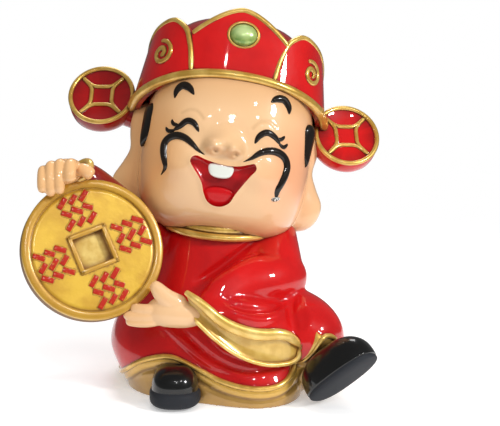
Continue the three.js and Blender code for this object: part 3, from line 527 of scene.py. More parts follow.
def cut_out(piece, form, paint):
    """Takes a form out of a piece. The walls of the hollow get a paint of their own."""
    bmesh.ops.recalc_face_normals(form, faces=form.faces)
    cutter = shaped("cutter", form, paint)
    mesh = cutter.data
    mesh.shade_smooth()
    cut = piece.modifiers.new("hollow", "BOOLEAN")
    cut.operation = "DIFFERENCE"
    cut.solver = "EXACT"
    cut.material_mode = "TRANSFER"
    cut.object = cutter
    made = bpy.data.meshes.new_from_object(piece.evaluated_get(bpy.context.evaluated_depsgraph_get()))
    piece.modifiers.remove(cut)
    old = piece.data
    made.name = old.name + "_cut"
    piece.data = made
    bpy.data.objects.remove(cutter)
    bpy.data.meshes.remove(mesh)
    bpy.data.meshes.remove(old)


mouth_form = bmesh.new()
bmesh.ops.create_uvsphere(mouth_form, u_segments=MOUTH_STEPS, v_segments=40, radius=1)
bmesh.ops.rotate(mouth_form, verts=mouth_form.verts, matrix=Matrix.Rotation(math.pi / 2, 3, "X"))
for vert in mouth_form.verts:
    vert.co = mouth_cut(vert.co.normalized()) * UNIT
cut_out(head, mouth_form, mouth_red)
head.data.set_sharp_from_angle(angle=math.radians(50))

tooth_white = Paint("tooth white", Roughness=0.25, Coat_Weight=1.0, Coat_Roughness=0.05)
# Painted shade darkens the tooth where the mouth hems it in.
tooth_white.set("Base Color", tooth_white.blend(
    tooth_white.step(tooth_white.attribute(HOLLOW), 0.2, 0.9) * 0.5, (0.8, 0.84, 0.76), (0.5, 0.2, 0.15)))
tooth_white.uneven((3, 0.04))
TOOTH = {"x": -0.2, "z": -6.2, "width": 3.5, "height": 1.9, "taper": 0.86, "bow": 0.4, "sunk": 0.9,
         "thick": 0.9}


def tooth_point(d):
    across, up = signed_power(d.x, 0.55), signed_power(d.z, 0.6)
    x = TOOTH["x"] + across * TOOTH["width"] * mix(1, TOOTH["taper"], 0.5 - up / 2)
    z = TOOTH["z"] + up * TOOTH["height"] + TOOTH["bow"] * across**2 * (up < 0) - 0.01 * x
    return on_head(x, face_depth(x, z) + TOOTH["sunk"] + TOOTH["thick"] * signed_power(d.y, 0.5), z)


tooth_form = bmesh.new()
ball(tooth_form, 48, 32, tooth_point)
finished("tooth", tooth_form, tooth_white)

TONGUE = {"x": 0.1, "z": -12.9, "half": 5, "up": 2.5, "taper": 0.52, "bow": 0.03, "sunk": 1.6,
          "thick": 0.8}


def tongue_point(d):
    up = signed_power(d.z, 0.7)
    x = TONGUE["x"] + signed_power(d.x, 0.8) * TONGUE["half"] * mix(1, TONGUE["taper"], 0.5 - up / 2)
    z = TONGUE["z"] + up * TONGUE["up"] - TONGUE["bow"] * (x - TONGUE["x"]) ** 2
    return on_head(x, face_depth(x, z) + TONGUE["sunk"] + TONGUE["thick"] * signed_power(d.y, 0.8), z)


tongue_form = bmesh.new()
ball(tongue_form, 48, 32, tongue_point)
tongue_red = Paint("tongue red", Roughness=0.4, Specular_IOR_Level=0.1, Coat_Weight=0.4,
                   Coat_Roughness=0.05)
tongue_red.set("Base Color", tongue_red.blend(
    tongue_red.noise(3), (0.62, 0.007, 0.01), (0.52, 0.005, 0.008)))
tongue_red.uneven((3, 0.1))
finished("tongue", tongue_form, tongue_red)

# Brows, eyes, moustache and hair
# Thin black ridges laid on the clay: two short brows, two laughing eyes with lashes, a long moustache
# that curls round each cheek, and a flat lock of hair beside each ear. All are painted gloss black.

black = Paint("gloss black", Roughness=0.35, Specular_IOR_Level=0.12, Coat_Weight=0.6, Coat_Roughness=0.05)
black.set("Base Color", black.blend(black.noise(6), (0.008, 0.006, 0.005), (0.016, 0.011, 0.008)))
black.uneven((4, 0.05))

BROWS = [[(-14.6, 10.6), (-14.2, 12.8), (-12.8, 14.3), (-11.2, 13.9), (-9.5, 12.0)],
         [(9.9, 12.9), (11.4, 14.1), (13.1, 14.2), (14.6, 12.6), (15.1, 10.6)]]
EYES = [[(-13.9, 2.3), (-12.1, 3.7), (-10.3, 5.3), (-8.6, 4.9), (-6.9, 2.6)],
        [(7.3, 1.6), (8.3, 3.9), (10.1, 5.1), (12.2, 4.3), (14.0, 2.4)]]
LASHES = [[(-14.5, 5.4), (-13.9, 4.2), (-12.3, 3.9)], [(-15.9, 3.2), (-14.9, 2.2), (-13, 2.5)],
          [(12.4, 3.9), (13.9, 4), (14.8, 5.1)], [(13.2, 3.0), (14.8, 2.1), (15.8, 3.3)]]
MOUSTACHE = [[(-4.4, -2.9), (-6.5, -1.9), (-8.4, -0.4), (-10.3, 0.8), (-12.5, 1.2), (-14.3, 0.4),
              (-15.3, -1.1), (-15.3, -3.2), (-14.8, -5.3), (-14.4, -7.2), (-15.5, -9.5)],
             [(4.8, -3.4), (7.2, -2.0), (9, -0.5), (11, 0.4), (13.2, 0.5), (15.2, -0.5), (16.2, -2.4),
              (16.1, -4.8), (15.4, -7.2), (14.7, -9), (14.6, -11.3)]]


def face_line(form, line, width, ends, rise, fullest=0.5, around=16, along=40):
    """A ridge of paint along a line of the face, a little sunk, with the share of width at its ends."""
    curve = Curve([face_point(p.x, p.z, -0.25) for p in curve_in_front(line).points(24)], fine=8)

    def size(t):
        swell = 1 - abs((t - fullest) / (fullest if t < fullest else 1 - fullest)) ** 2.4
        wide = width * (mix(ends[0], ends[1], t) * (1 - swell) + swell)
        return wide, rise * mix(0.55, 1, swell)
    limb(form, curve, size, HEAD_OUT, around, along, blunt=2.2)


lines_form = bmesh.new()
for line in BROWS:
    face_line(lines_form, line, 1.15, (0.35, 0.4), 0.9)
for line in EYES:
    face_line(lines_form, line, 0.9, (0.55, 0.6), 0.8)
for line in LASHES:
    face_line(lines_form, line, 0.6, (0.25, 0.8), 0.5, around=10, along=16)
finished("brows_and_eyes", lines_form, black)

moustache_form = bmesh.new()
for line, tip in zip(MOUSTACHE, (0.25, 1.2)):
    face_line(moustache_form, line, 1.16, (0.22, tip), 1.1, fullest=0.62, around=20, along=72)
finished("moustache", moustache_form, black)

# The tip of the moustache is chipped: pale resin shows, with specks of black left on it.
chip = Paint("bare resin", Roughness=0.7)
chip.set("Base Color", chip.blend(
    chip.step(chip.noise(0.9), 0.45, 0.55), (0.85, 0.82, 0.76), (0.1, 0.08, 0.06)))
chip.uneven((0.6, 0.2))
chip_form = bmesh.new()
face_line(chip_form, [(13.5, -11.5), (14.6, -11.4), (15.8, -11)], 0.62, (0.8, 0.8), 0.75, around=10,
          along=12)
finished("moustache_chip", chip_form, chip)

HAIR = [[(-19.8, 9.5), (-20.1, 6.5), (-20.8, 2.5), (-22.0, -2.6)],
        [(21.2, 9.4), (20.9, 6), (20.9, 2.5), (21.4, -2.0)]]
HAIR_WIDTH = Stations((0, 2.6), (0.2, 3.6), (0.6, 2.8), (0.85, 1.5), (1, 0.2))
HAIR_Y = -8.9
HAIR_THICKNESS = 1.4
# The lock on the right is the narrower one.
HAIR_SHARE = {-1: 1, 1: 0.74}
hair_form = bmesh.new()
for side, line in zip((-1, 1), HAIR):
    limb(hair_form, [on_head(x, HAIR_Y, z) for x, z in line],
         lambda t: (HAIR_WIDTH(t)[0] * HAIR_SHARE[side], HAIR_THICKNESS), head_way(side, -0.9, 0), 24, 40,
         blunt=2)
finished("hair", hair_form, black)

# Hat
# A red cap: a dark dome at the back, a front panel that rises to a point, and a round lobe over each
# temple. It is one casting with the head, painted with a thick glossy red lacquer.

# Half sizes of the wall and its middle, and how it leans in over the heights given with it.
HAT = {"width": 25.4, "depth": 19.8, "back": 19.1, "x": -0.7, "y": 1.95, "plan": 2.3,
       "lean_side": 0.17, "side_from": 14, "lean_front": 0.12, "front_from": 18}
BAND = {"level": 10, "rise": 6.9, "bow": 1.8, "droop": 1.6, "thickness": 5.4}
CROWN = {"width": 22, "depth": 18.8, "height": 23.2, "centre": (-0.5, 2.4, 12), "power": 2.6}
PANEL = {"corner": 12.6, "foot": 10.9, "base": 16.5, "peak": 35.8, "drop": 7.7, "point": 1.6, "sunk": 0.5}
PANEL_THICKNESS = 3
# The top edge of a lobe: its angle round the hat from the front, and its height.
LOBE = Curve([(math.radians(angle), z, 0) for angle, z in [
    (22.6, 17.6), (28.5, 25.6), (37, 30), (48, 31.4), (66, 29.6), (88, 24.8), (114, 16.6), (136, 9)]])
LOBE_THICKNESS = 2.6
# How far the foot of a lobe goes into the band.
LOBE_TUCK = 0.6
# Three tones each: the brightest, the darker patches, and the painted shade in the hollows.
RED = (0.62, 0.006, 0.006), (0.5, 0.004, 0.005), (0.16, 0.002, 0.002)
DARK_RED = (0.3, 0.006, 0.006), (0.22, 0.004, 0.004), (0.07, 0.002, 0.002)


def lacquer(name, tones, shade, *relief):
    """Thick glossy red over uneven resin, with painted shade in the hollows and where shade says, and its
    tone.
    """
    base, dark, deep = tones
    paint = Paint(name, Roughness=0.4, Specular_IOR_Level=0.12, Coat_Weight=1.0, Coat_Roughness=0.03)
    x, _, z = paint.axes(paint.where())
    tone = paint.layered(
        base, (paint.step(paint.noise(22, 3), 0.35, 0.7), dark), shade(paint, x, z),
        (paint.step(paint.attribute(HOLLOW), 0.3, 1) * 0.85, deep))
    paint.set("Base Color", tone)
    paint.uneven(*relief)
    return paint, tone


def far_side_shade(deep):
    """Painted shade: the hat is darker on the side of the coin."""
    return lambda paint, x, z: ((1 - paint.step(x, -62 * MM, -22 * MM)) * 0.6, deep)


# The red of the hat and its wings gets painted shade on the side of the coin and in its hollows.
red, dark_red = [lacquer(name, tones, far_side_shade(tones[2]), (12, 0.42), (3.5, 0.1))[0]
                 for name, tones in (("red lacquer", RED), ("dark red lacquer", DARK_RED))]


def hat_wall(angle, z, out=0):
    width = HAT["width"] - HAT["lean_side"] * (z - HAT["side_from"]) + out
    front = HAT["depth"] - HAT["lean_front"] * (z - HAT["front_from"])
    depth = (front if math.cos(angle) > 0 else HAT["back"]) + out
    return Vector((
        HAT["x"] + width * signed_power(math.sin(angle), 2 / HAT["plan"]),
        HAT["y"] - depth * signed_power(math.cos(angle), 2 / HAT["plan"]), z))


def on_hat(angle, z, out=0):
    return on_head(*hat_wall(angle, z, out))


def band_height(angle):
    """The edge of the hat is high over the forehead, low at the nape, and lower on its right side."""
    forward = signed_power(math.cos(angle), 2 / HAT["plan"])
    right = min(0, math.sin(angle))
    return (BAND["level"] + BAND["rise"] * forward + BAND["bow"] * forward**2 + right
            + BAND["droop"] * right**3)


def crown_point(d):
    power = CROWN["power"]
    size = (abs(d.x / CROWN["width"]) ** power + abs(d.y / CROWN["depth"]) ** power
            + abs(d.z / CROWN["height"]) ** power) ** (-1 / power)
    return on_head(*(Vector(CROWN["centre"]) + d * size))


def plate(form, across, up, face):
    """A bent plate: face(u, v, back) is a point of its front or back, with u and v from 0 to 1."""
    front = bmesh.ops.create_grid(form, x_segments=across, y_segments=up, size=0.5)["verts"]
    faces = list({f for v in front for f in v.link_faces})
    back = bmesh.ops.extrude_face_region(form, geom=faces, use_keep_orig=True)["geom"]
    back = [g for g in back if isinstance(g, bmesh.types.BMVert)]
    placed = [(v, face(v.co.x + 0.5, v.co.y + 0.5, depth)) for depth, group in ((0, front), (1, back))
              for v in group]
    for vert, place in placed:
        vert.co = place * UNIT


def panel_top(x):
    return PANEL["peak"] - PANEL["drop"] * abs(x / PANEL["corner"]) ** PANEL["point"]


def panel_point(x, z, depth):
    angle = math.asin(clamp(signed_power(x / HAT["width"], HAT["plan"] / 2)))
    return on_head(x, hat_wall(angle, z, -PANEL["sunk"] - depth).y, z)


def panel_face(u, v, back):
    x = (2 * u - 1) * mix(PANEL["foot"], PANEL["corner"], v)
    return panel_point(x, mix(PANEL["base"], panel_top(x), v), back * PANEL_THICKNESS)


def lobe_face(side):
    def face(u, v, back):
        top = LOBE.point(u)
        z = mix(band_height(side * top.x) - LOBE_TUCK, top.y, v)
        return on_hat(side * top.x, z, -back * LOBE_THICKNESS)
    return face


crown_form = bmesh.new()
ball(crown_form, 72, 48, crown_point)
finished("hat_dome", crown_form, dark_red)
panel_form = bmesh.new()
plate(panel_form, 60, 30, panel_face)
finished("hat_panel", panel_form, red, sharp=50)
lobes_form = bmesh.new()
for side in (-1, 1):
    plate(lobes_form, 72, 24, lobe_face(side))
finished("hat_lobes", lobes_form, red, sharp=50)

# Gold trim of the hat
# A thick roll round the edge, thinner piping along the panel and the lobes, and a raised scroll on each
# lobe. They are cast on and brushed with gold, and a brown wash and painted shade darken the hollows
# beside them.

PIPING_THICKNESS = 3.2
PIPING_SINK = 0.4
# The scroll's sizes in millimetres, its height on the hat, and how far and from where it winds inwards.
SPIRAL = {"height": 15, "width": 21, "thickness": 2.8, "z": 22.4, "turns": 1.55, "start": 2, "inner": 0.1}
SPIRAL_ANGLES = {-1: 51, 1: 56}


def gilding(name, base, pale, wash_and_shade, metal=0.55, grain=0.05):
    """Brushed gold paint with a brown wash and painted shade in the hollows, under clear lacquer."""
    paint = Paint(name, Metallic=metal, Coat_Weight=0.8, Coat_Roughness=0.08)
    tone = paint.blend(paint.step(paint.noise(9, 3), 0.3, 0.75), base, pale)
    wash_and_shade_part = paint.step(paint.attribute(HOLLOW) + paint.noise(4, 3) * 0.3, 0.3, 0.95)
    paint.set("Base Color", paint.blend(wash_and_shade_part, tone, wash_and_shade))
    paint.set("Roughness", paint.noise(5) * 0.12 + 0.26)
    paint.uneven((10, 0.15), (1.8, grain))
    return paint


gold = gilding("antique gold", (0.62, 0.35, 0.055), (0.9, 0.6, 0.15), (0.15, 0.06, 0.014))


def roll(form, centre, out, height, thickness, around, sides):
    """A closed roll: centre(u) is its middle line, out(u) points away from what it lies on."""
    made = bmesh.ops.create_grid(form, x_segments=around, y_segments=sides, size=0.5)
    for vert in made["verts"]:
        u, turn = vert.co.x + 0.5, FULL * vert.co.y
        tangent = (centre(u + 0.003) - centre(u - 0.003)).normalized()
        outward = out(u)
        up = outward.cross(tangent).normalized()
        vert.co = (centre(u) + outward * (math.cos(turn) * thickness)
                   + up * (math.sin(turn) * height)) * UNIT
    bmesh.ops.remove_doubles(form, verts=form.verts, dist=1e-6)


band_form = bmesh.new()
band_radius = share(BAND["thickness"]) / 2


def band_out(u):
    wall = hat_wall(FULL * u, 12)
    return head_way(wall.x - HAT["x"], wall.y - HAT["y"], 0)


roll(band_form, lambda u: on_hat(FULL * u, band_height(FULL * u), -0.2 * band_radius),
     band_out, band_radius, band_radius, 160, 14)
finished("hat_band", band_form, gold)

piping_form = bmesh.new()
piping_radius = share(PIPING_THICKNESS) / 2
panel_edge = [panel_point(x, panel_top(x), PIPING_SINK) for x in (
    mix(-PANEL["corner"], PANEL["corner"], k / 24) for k in range(25))]
limb(piping_form, panel_edge, even(piping_radius), HEAD_OUT, 14, 90, blunt=8)
for side in (-1, 1):
    lobe_edge = [on_hat(side * p.x, p.y, -PIPING_SINK) for p in LOBE.points(30)]
    limb(piping_form, lobe_edge, even(piping_radius), head_way(side, -0.5, 0.2), 14, 110, blunt=8)
    spiral = []
    for k in range(49):
        radius = mix(1, SPIRAL["inner"], k / 48) / 2
        way = SPIRAL["start"] - FULL * SPIRAL["turns"] * k / 48
        slide = side * share(SPIRAL["width"]) * radius * math.cos(way)
        angle = math.radians(SPIRAL_ANGLES[side]) + slide / HAT["width"]
        z = SPIRAL["z"] + share(SPIRAL["height"]) * radius * math.sin(way)
        spiral.append(on_hat(side * angle, z, -0.1))
    spiral_radius = share(SPIRAL["thickness"]) / 2
    limb(piping_form, spiral, lambda t: (spiral_radius * mix(1, 1.3, t), spiral_radius),
         head_way(side, -0.8, 0.2), 12, 130, blunt=6)
finished("hat_piping", piping_form, gold)

# Stone of the hat
# An oval green cabochon in a gold ring on the front panel. It is cast on and painted a pearly green,
# with a painted sheen that makes it pale in the middle.

# The place of the stone on the panel, and its sizes and its ring's in millimetres.
GEM = {"x": 0.7, "z": 29.4, "width": 16, "height": 13, "ring": 2.4, "rise": 2.3, "sunk": 0.5}
gem_seat = panel_point(GEM["x"], GEM["z"], GEM["sunk"])
gem_across, gem_up = head_way(1, 0, 0), head_way(0, 0.1, 1)
gem_half = share(GEM["width"]) / 2, share(GEM["height"]) / 2
green = Paint("pearl green", Roughness=0.3, Metallic=0.25, Coat_Weight=1.0, Coat_Roughness=0.06)
stone_at = HeadPlace(green)
# A painted sheen makes the stone pale just above its middle.
pale = patch(green, stone_at.x, stone_at.z, (GEM["x"], GEM["z"] + 0.8), (2.4, 1.6), 0.8)
cloud = green.step(green.noise(3, 3), 0.4, 0.65)
green.set("Base Color", green.layered(
    (0.16, 0.32, 0.05), (cloud, (0.36, 0.5, 0.12)), (pale, (0.6, 0.76, 0.32))))
green.uneven((4, 0.1))
gem_form = bmesh.new()
ball(gem_form, 48, 32, lambda d: gem_seat + gem_across * (d.x * gem_half[0])
     + HEAD_OUT * (-d.y * GEM["rise"]) + gem_up * (d.z * gem_half[1]))
finished("hat_stone", gem_form, green)
ring_radius = share(GEM["ring"]) / 2
ring_form = bmesh.new()
roll(ring_form, lambda u: gem_seat
     + gem_across * (math.cos(FULL * u) * (gem_half[0] + ring_radius * 0.4))
     + gem_up * (math.sin(FULL * u) * (gem_half[1] + ring_radius * 0.4)),
     lambda u: HEAD_OUT, ring_radius, ring_radius * 1.4, 64, 12)
finished("stone_ring", ring_form, gold)

# Wings of the hat
# A thick round disc on each side, on a short stem. Its face has a gold ring and four gold arcs that
# leave a square in the middle, with glossy red pooled between them.

# Sizes in millimetres and angles in degrees.
WING = {"width": 40, "thickness": 11, "ring": 2.8, "stem": 15, "tilt": 27, "turn": 7, "spin": 8}
# The arcs as shares of the wing: how near they come to the middle, how far they reach and how they bend.
WING_ARC = {"narrow": 0.33, "half": 0.69, "thick": 0.46, "bend": 5.5}
WING_CENTRES = {-1: (-35.4, 2, 10.2), 1: (31.6, 2, 8.6)}
WING_ROOT = (19, 4, 4.5)
wing_radius, wing_thick, wing_bead = (share(WING[k]) for k in ("width", "thickness", "ring"))
wing_radius /= 2


def turned(form, profile, place, steps=96):
    """A round form: a profile of distances from the axis and heights, turned and put in place."""
    verts = [form.verts.new((r, 0, out)) for r, out in profile]
    edges = [form.edges.new(pair) for pair in zip(verts, verts[1:])]
    bmesh.ops.spin(form, geom=[*verts, *edges], cent=(0, 0, 0), axis=(0, 0, 1), angle=FULL,
                   steps=steps, use_merge=True)
    bmesh.ops.remove_doubles(form, verts=form.verts, dist=1e-5)
    for vert in form.verts:
        vert.co = place(vert.co.x, vert.co.y, vert.co.z) * UNIT


def wing_frame(side):
    centre = on_head(*WING_CENTRES[side])
    tilt, turn = math.radians(WING["tilt"]), math.radians(WING["turn"])
    normal = head_way(side * math.sin(turn), -math.cos(tilt) * math.cos(turn), math.sin(tilt))
    across = head_way(0, 0, 1).cross(normal).normalized()
    up = normal.cross(across)
    return lambda x, z, out: centre + across * x + up * z + normal * out


stem_radius = share(WING["stem"]) / 2
wing_field = -0.35 * wing_bead
inner = wing_radius - 0.5 * wing_bead
arc_radius = wing_bead * WING_ARC["thick"]
wing_profile = [(across * wing_radius, back * wing_thick) for across, back in (
    (0, -1), (0.88, -1), (0.95, -0.97), (0.99, -0.88), (1, -0.7), (1, -0.15))]
wing_profile += [(inner, 0), (wing_radius - wing_bead, wing_field), (0, wing_field)]
for side, word in ((-1, "right"), (1, "left")):
    at_wing = wing_frame(side)
    disc_form = bmesh.new()
    turned(disc_form, wing_profile, at_wing)
    root = on_head(side * WING_ROOT[0], WING_ROOT[1], WING_ROOT[2])
    limb(disc_form, [root, at_wing(0, -1.4, -wing_thick * 0.6)], even(stem_radius), HEAD_OUT, 24, 16,
         blunt=3)
    finished(f"{word}_wing", disc_form, red, sharp=60)
    trim_form = bmesh.new()
    normal = (at_wing(0, 0, 1) - at_wing(0, 0, 0)).normalized()
    roll(trim_form, lambda u: at_wing(inner * math.cos(FULL * u), inner * math.sin(FULL * u), -0.1),
         lambda u: normal, wing_bead * 0.5, wing_bead * 0.45, 96, 12)
    for k in range(4):
        middle = k * math.pi / 2 + math.radians(WING["spin"])
        arc = []
        for j in range(13):
            spread = j / 6 - 1
            slide = inner * WING_ARC["half"] * spread
            reach = ((inner * WING_ARC["narrow"]) ** WING_ARC["bend"]
                     + abs(slide) ** WING_ARC["bend"]) ** (1 / WING_ARC["bend"])
            arc.append(at_wing(reach * math.cos(middle) - slide * math.sin(middle),
                               reach * math.sin(middle) + slide * math.cos(middle), wing_field))
        limb(trim_form, arc, even(arc_radius), normal, 12, 40, blunt=8)
    finished(f"{word}_wing_trim", trim_form, gold)

# Robe
# A wide red robe over crossed legs, with the sleeve of the lowered arm hanging across the lap. Torso,
# thighs and sleeves run together in one casting, with soft folds, under glossy red lacquer.

ROBE = {"low": -8, "high": 46, "plan": 2.2}
# Height, the middle of the section across and in depth, and its half width and half depth.
ROBE_SECTION = Stations(
    (-6, -0.9, -3.8, 22.4, 21.6), (0, -0.9, -3.8, 23.8, 22.4), (5, -0.8, -3.8, 26.4, 22.8),
    (11, -1, -3.6, 28, 22.4), (18, -0.5, -2.6, 26.4, 21.2), (25, 0, -1.2, 22.6, 19),
    (32, 0.6, -0.2, 19, 16.8), (38, 1, 0, 16.6, 15), (46, 1.2, 0, 13, 12.6))
# Swellings: rise, angle from the front and its spread, height and its spread.
LAP = (7.6, math.radians(33), math.radians(28), 1, 11)
PLEAT = (0.6, math.pi, 1.2, 8, 16)
PLEAT_COUNT = 7


def swell(form, angle, z):
    rise, middle, spread, level, height = form
    return rise * bump(angle, middle, spread) * bump(z, level, height)


def robe_point(angle, z):
    cx, cy, width, depth = ROBE_SECTION(z)
    reach = (abs(math.sin(angle) / width) ** ROBE["plan"]
             + abs(math.cos(angle) / depth) ** ROBE["plan"]) ** (-1 / ROBE["plan"])
    radius = reach + swell(LAP, angle, z) + math.cos(PLEAT_COUNT * angle) * swell(PLEAT, abs(angle), z)
    return Vector((cx + radius * math.sin(angle), cy - radius * math.cos(angle), z))


def robe_ball(d):
    angle = math.atan2(d.x, -d.y)
    z = mix(ROBE["low"], ROBE["high"], 0.5 + level_of(d) / 2)
    end = min(1, math.hypot(d.x, d.y) * 5)
    edge = robe_point(angle, z)
    cx, cy = ROBE_SECTION(z)[:2]
    return Vector((mix(cx, edge.x, end), mix(cy, edge.y, end), z))


# The sleeves run to the hands, and the hands to the coin, so the coin's place comes first.
COIN = {"width": 80, "thickness": 13, "rim": 5, "bevel": 1.5, "rise": 1.4, "square": 23, "bar": 2.6,
        "recess": 4}
COIN_CENTRE = Vector((-31, -25, 40.5))
COIN_TURN, COIN_TILT, COIN_SPIN = [math.radians(angle) for angle in (15, 21.5, 17.7)]
coin_out = Vector((math.sin(COIN_TURN) * math.cos(COIN_TILT),
                   -math.cos(COIN_TURN) * math.cos(COIN_TILT), math.sin(COIN_TILT)))
coin_across = Vector((math.cos(COIN_TURN), math.sin(COIN_TURN), 0))
coin_up = coin_out.cross(coin_across)


def on_coin(x, z, out):
    """A point on or over the face of the coin, in millimetres from its middle and over its rim."""
    return COIN_CENTRE + coin_across * share(x) + coin_up * share(z) + coin_out * share(out)


def beside_rim(angle):
    """Reads offsets, in shares, from the middle of the coin's edge at an angle round it."""
    radius = COIN["width"] / 2
    rim = on_coin(radius * math.cos(angle), radius * math.sin(angle), -COIN["thickness"] / 2)
    return lambda offset: rim + Vector(offset)


high_hand_at = beside_rim(math.radians(125))
low_hand_at = beside_rim(math.radians(-40))
FRONT = Vector((0, -1, 0.2))
UP = Vector((0, 0, 1))


def cut_at_floor(form):
    """Cuts a form off flat at the floor and closes it."""
    bmesh.ops.bisect_plane(form, geom=[*form.verts, *form.edges, *form.faces], plane_co=(0, 0, 0),
                           plane_no=(0, 0, -1), clear_outer=True)
    bmesh.ops.holes_fill(form, edges=[e for e in form.edges if e.is_boundary], sides=0)


# The torso, the kicked-up leg in two forms, the other leg, the raised sleeve, and then the lowered arm's
# shoulder, its forearm and the cloth that hangs from it.
robe_form = bmesh.new()
ball(robe_form, 96, 64, robe_ball)
limb(robe_form, [(4, -2, 12), (14, -9, 16), (22, -16, 16.8), (28.8, -25.2, 12.8)],
     Stations((0, 11, 11), (0.45, 10.8, 10.6), (0.8, 9.4, 9), (1, 7.6, 7.2)), UP, 40, 40, blunt=3.4)
limb(robe_form, [(8, -4, 4), (18, -12, 5), (27.4, -22, 8.4)],
     Stations((0, 9, 7), (0.5, 8.8, 6.6), (1, 6.6, 5.4)), UP, 32, 32, blunt=3.4)
limb(robe_form, [(-6, 0, 9), (-13, -8, 8), (-13.4, -15, 6.6), (-11.4, -20.4, 4.6)],
     Stations((0, 11, 11), (0.5, 9.6, 10), (1, 7.2, 7)), UP, 40, 32, blunt=3.4)
raised_shoulder = Vector((-10.6, -1, 31.6))
raised_wrist = high_hand_at((8, 3.6, 6.2))
raised_bend = raised_shoulder.lerp(raised_wrist, 0.5) + Vector((0, 1, -0.8))
limb(robe_form, [raised_shoulder, raised_bend, raised_wrist],
     Stations((0, 6.6, 6.6), (0.6, 5.4, 5.4), (1, 4, 4)), Vector((0, -1, 0)), 32, 32, blunt=4)
lowered_wrist = low_hand_at((13, -4.6, -3.2))
limb(robe_form, [(13, 4, 43.8), (16.8, -16, 27)], lambda t: (7.3, 7), FRONT, 40, 32, blunt=2.6)
limb(robe_form, [(21.6, -7.4, 29.2), (14.6, -15, 30), (5.6, -20, 28.8), lowered_wrist],
     Stations((0, 6.4, 6.2), (0.5, 6.6, 6), (1, 3.8, 3.6)), FRONT, 40, 40, blunt=2.8)
limb(robe_form, [lowered_wrist, (4, -26, 21.4), (13, -23.6, 18.2), (19.4, -18.6, 18.2)],
     Stations((0, 4, 3.4), (0.35, 7.2, 5.4), (0.7, 8, 6.4), (1, 7.4, 6)), FRONT, 40, 40, blunt=3.4)
robe_form = fused(robe_form, 1.05 * MM, 12)
cut_at_floor(robe_form)

# The middle of the gold border, read by its angle round the torso.
HEM = Curve([
    (-25.2, -8.6, 1.8), (-21.7, -15, 4.4), (-17, -21, 9), (-11.3, -24.4, 10.6), (-4.6, -26.6, 8),
    (1.4, -28.8, 5.4), (9.4, -30.4, 4), (16.8, -29.8, 4.6), (23, -28.6, 7.6), (26, -28.4, 12.6),
    (28.8, -28.8, 16.4), (31.6, -27.6, 16.4), (33.6, -24.4, 12.6), (30.4, -19.2, 7.4), (25.8, -11, 3.6),
    (23.6, 0, 2.6), (16, 12.4, 2.6), (-2, 18.8, 2.6), (-18.6, 12.6, 2.6), (-26, 2, 2.6)], closed=True)
HEM_CENTRE = Vector((0, -2, 0))
# About how far the border is from the upright axis.
HEM_REACH = 34
# Half width in shares, and in millimetres how far the cloth and its foot stand out and how thick the lip is.
HEM_BAND = {"half": 1.5, "rise": 1.9, "foot": 1.8, "lip": 3.2, "curl": 0.8}


def hem_lift(over):
    """How far the cloth of the border stands out, in millimetres, by the height over its middle."""
    if over > -HEM_BAND["half"]:
        return HEM_BAND["rise"] * max(0, 1 - (over / HEM_BAND["half"]) ** 4)
    return HEM_BAND["foot"] * (1 - bump(over, -HEM_BAND["half"], HEM_BAND["curl"]))


# The photo's camera, so that folds can be drawn where the photo shows them.
CAMERA = {"target": Vector((19.6, 0, 98)) * MM, "distance": 0.9, "rise": math.radians(12), "lens": 109,
          "film": 36}
VIEW_WAY = Vector((0, -math.cos(CAMERA["rise"]), math.sin(CAMERA["rise"])))
camera_place = CAMERA["target"] + VIEW_WAY * CAMERA["distance"]
PHOTO = 500, 426


def photo_pixels(points):
    """Where points of the figure fall in the photo, in its pixels."""
    up = np.array((0, math.sin(CAMERA["rise"]), math.cos(CAMERA["rise"])))
    away = np.asarray(points) - np.array(camera_place)
    depth = -away @ np.array(VIEW_WAY)
    scale = CAMERA["lens"] / CAMERA["film"] * PHOTO[0]
    return np.stack([PHOTO[0] / 2 + scale * away[:, 0] / depth,
                     PHOTO[1] / 2 - scale * (away @ up) / depth], 1)


# Folds as the photo shows them: pixels along the fold, width in pixels, and height in millimetres,
# where a crease is below zero.
FOLDS = [
    ([(262, 236), (240, 252), (218, 268), (193, 284)], 3.6, -2.6),
    ([(270, 247), (250, 260), (226, 276), (206, 288)], 7, 1.6),
    ([(222, 297), (236, 306), (252, 309), (270, 308), (284, 302)], 3.6, -2.2),
    ([(226, 306), (242, 316), (258, 320), (274, 317), (286, 310)], 5, 1.6),
    ([(296, 292), (292, 304), (292, 318), (297, 332)], 4, -1.6),
    ([(150, 312), (172, 334), (196, 356), (222, 374)], 4.5, 1.3),
    ([(172, 318), (192, 340), (216, 360), (246, 371), (282, 368)], 3.2, -1.6),
    ([(160, 326), (182, 348), (208, 368), (240, 380)], 3.2, -1.2),
    ([(302, 300), (310, 318), (308, 334)], 4, 0.8),
]
FOLD_STEPS = 60
robe_form.normal_update()
robe_verts = list(robe_form.verts)
robe_places = np.array([v.co for v in robe_verts])
robe_facing = np.array([v.normal.dot(VIEW_WAY) for v in robe_verts])
robe_pixels = photo_pixels(robe_places)
lift = np.zeros(len(robe_verts))
for line, width, height in FOLDS:
    steps = np.array(curve_in_front(line).points(FOLD_STEPS))
    gap = np.hypot(robe_pixels[:, :1] - steps[:, 0], robe_pixels[:, 1:] - steps[:, 2])
    nearest = gap.argmin(1) / FOLD_STEPS
    lift += height * (1 - np.abs(2 * nearest - 1) ** 4) * np.exp(-((gap.min(1) / width) ** 2))
# A fold fades where the cloth turns away from the view.
lift *= np.clip((robe_facing - 0.05) / 0.3, 0, 1)
for vert, normal, rise in zip(robe_verts, [v.normal.copy() for v in robe_verts], lift):
    vert.co += normal * (rise * MM)
border = robe_form.verts.layers.float.new("border")
hem_ring = sorted((math.atan2(p.x, HEM_CENTRE.y - p.y), p.z) for p in HEM.table)
hem_angles, hem_heights = np.array(hem_ring).T
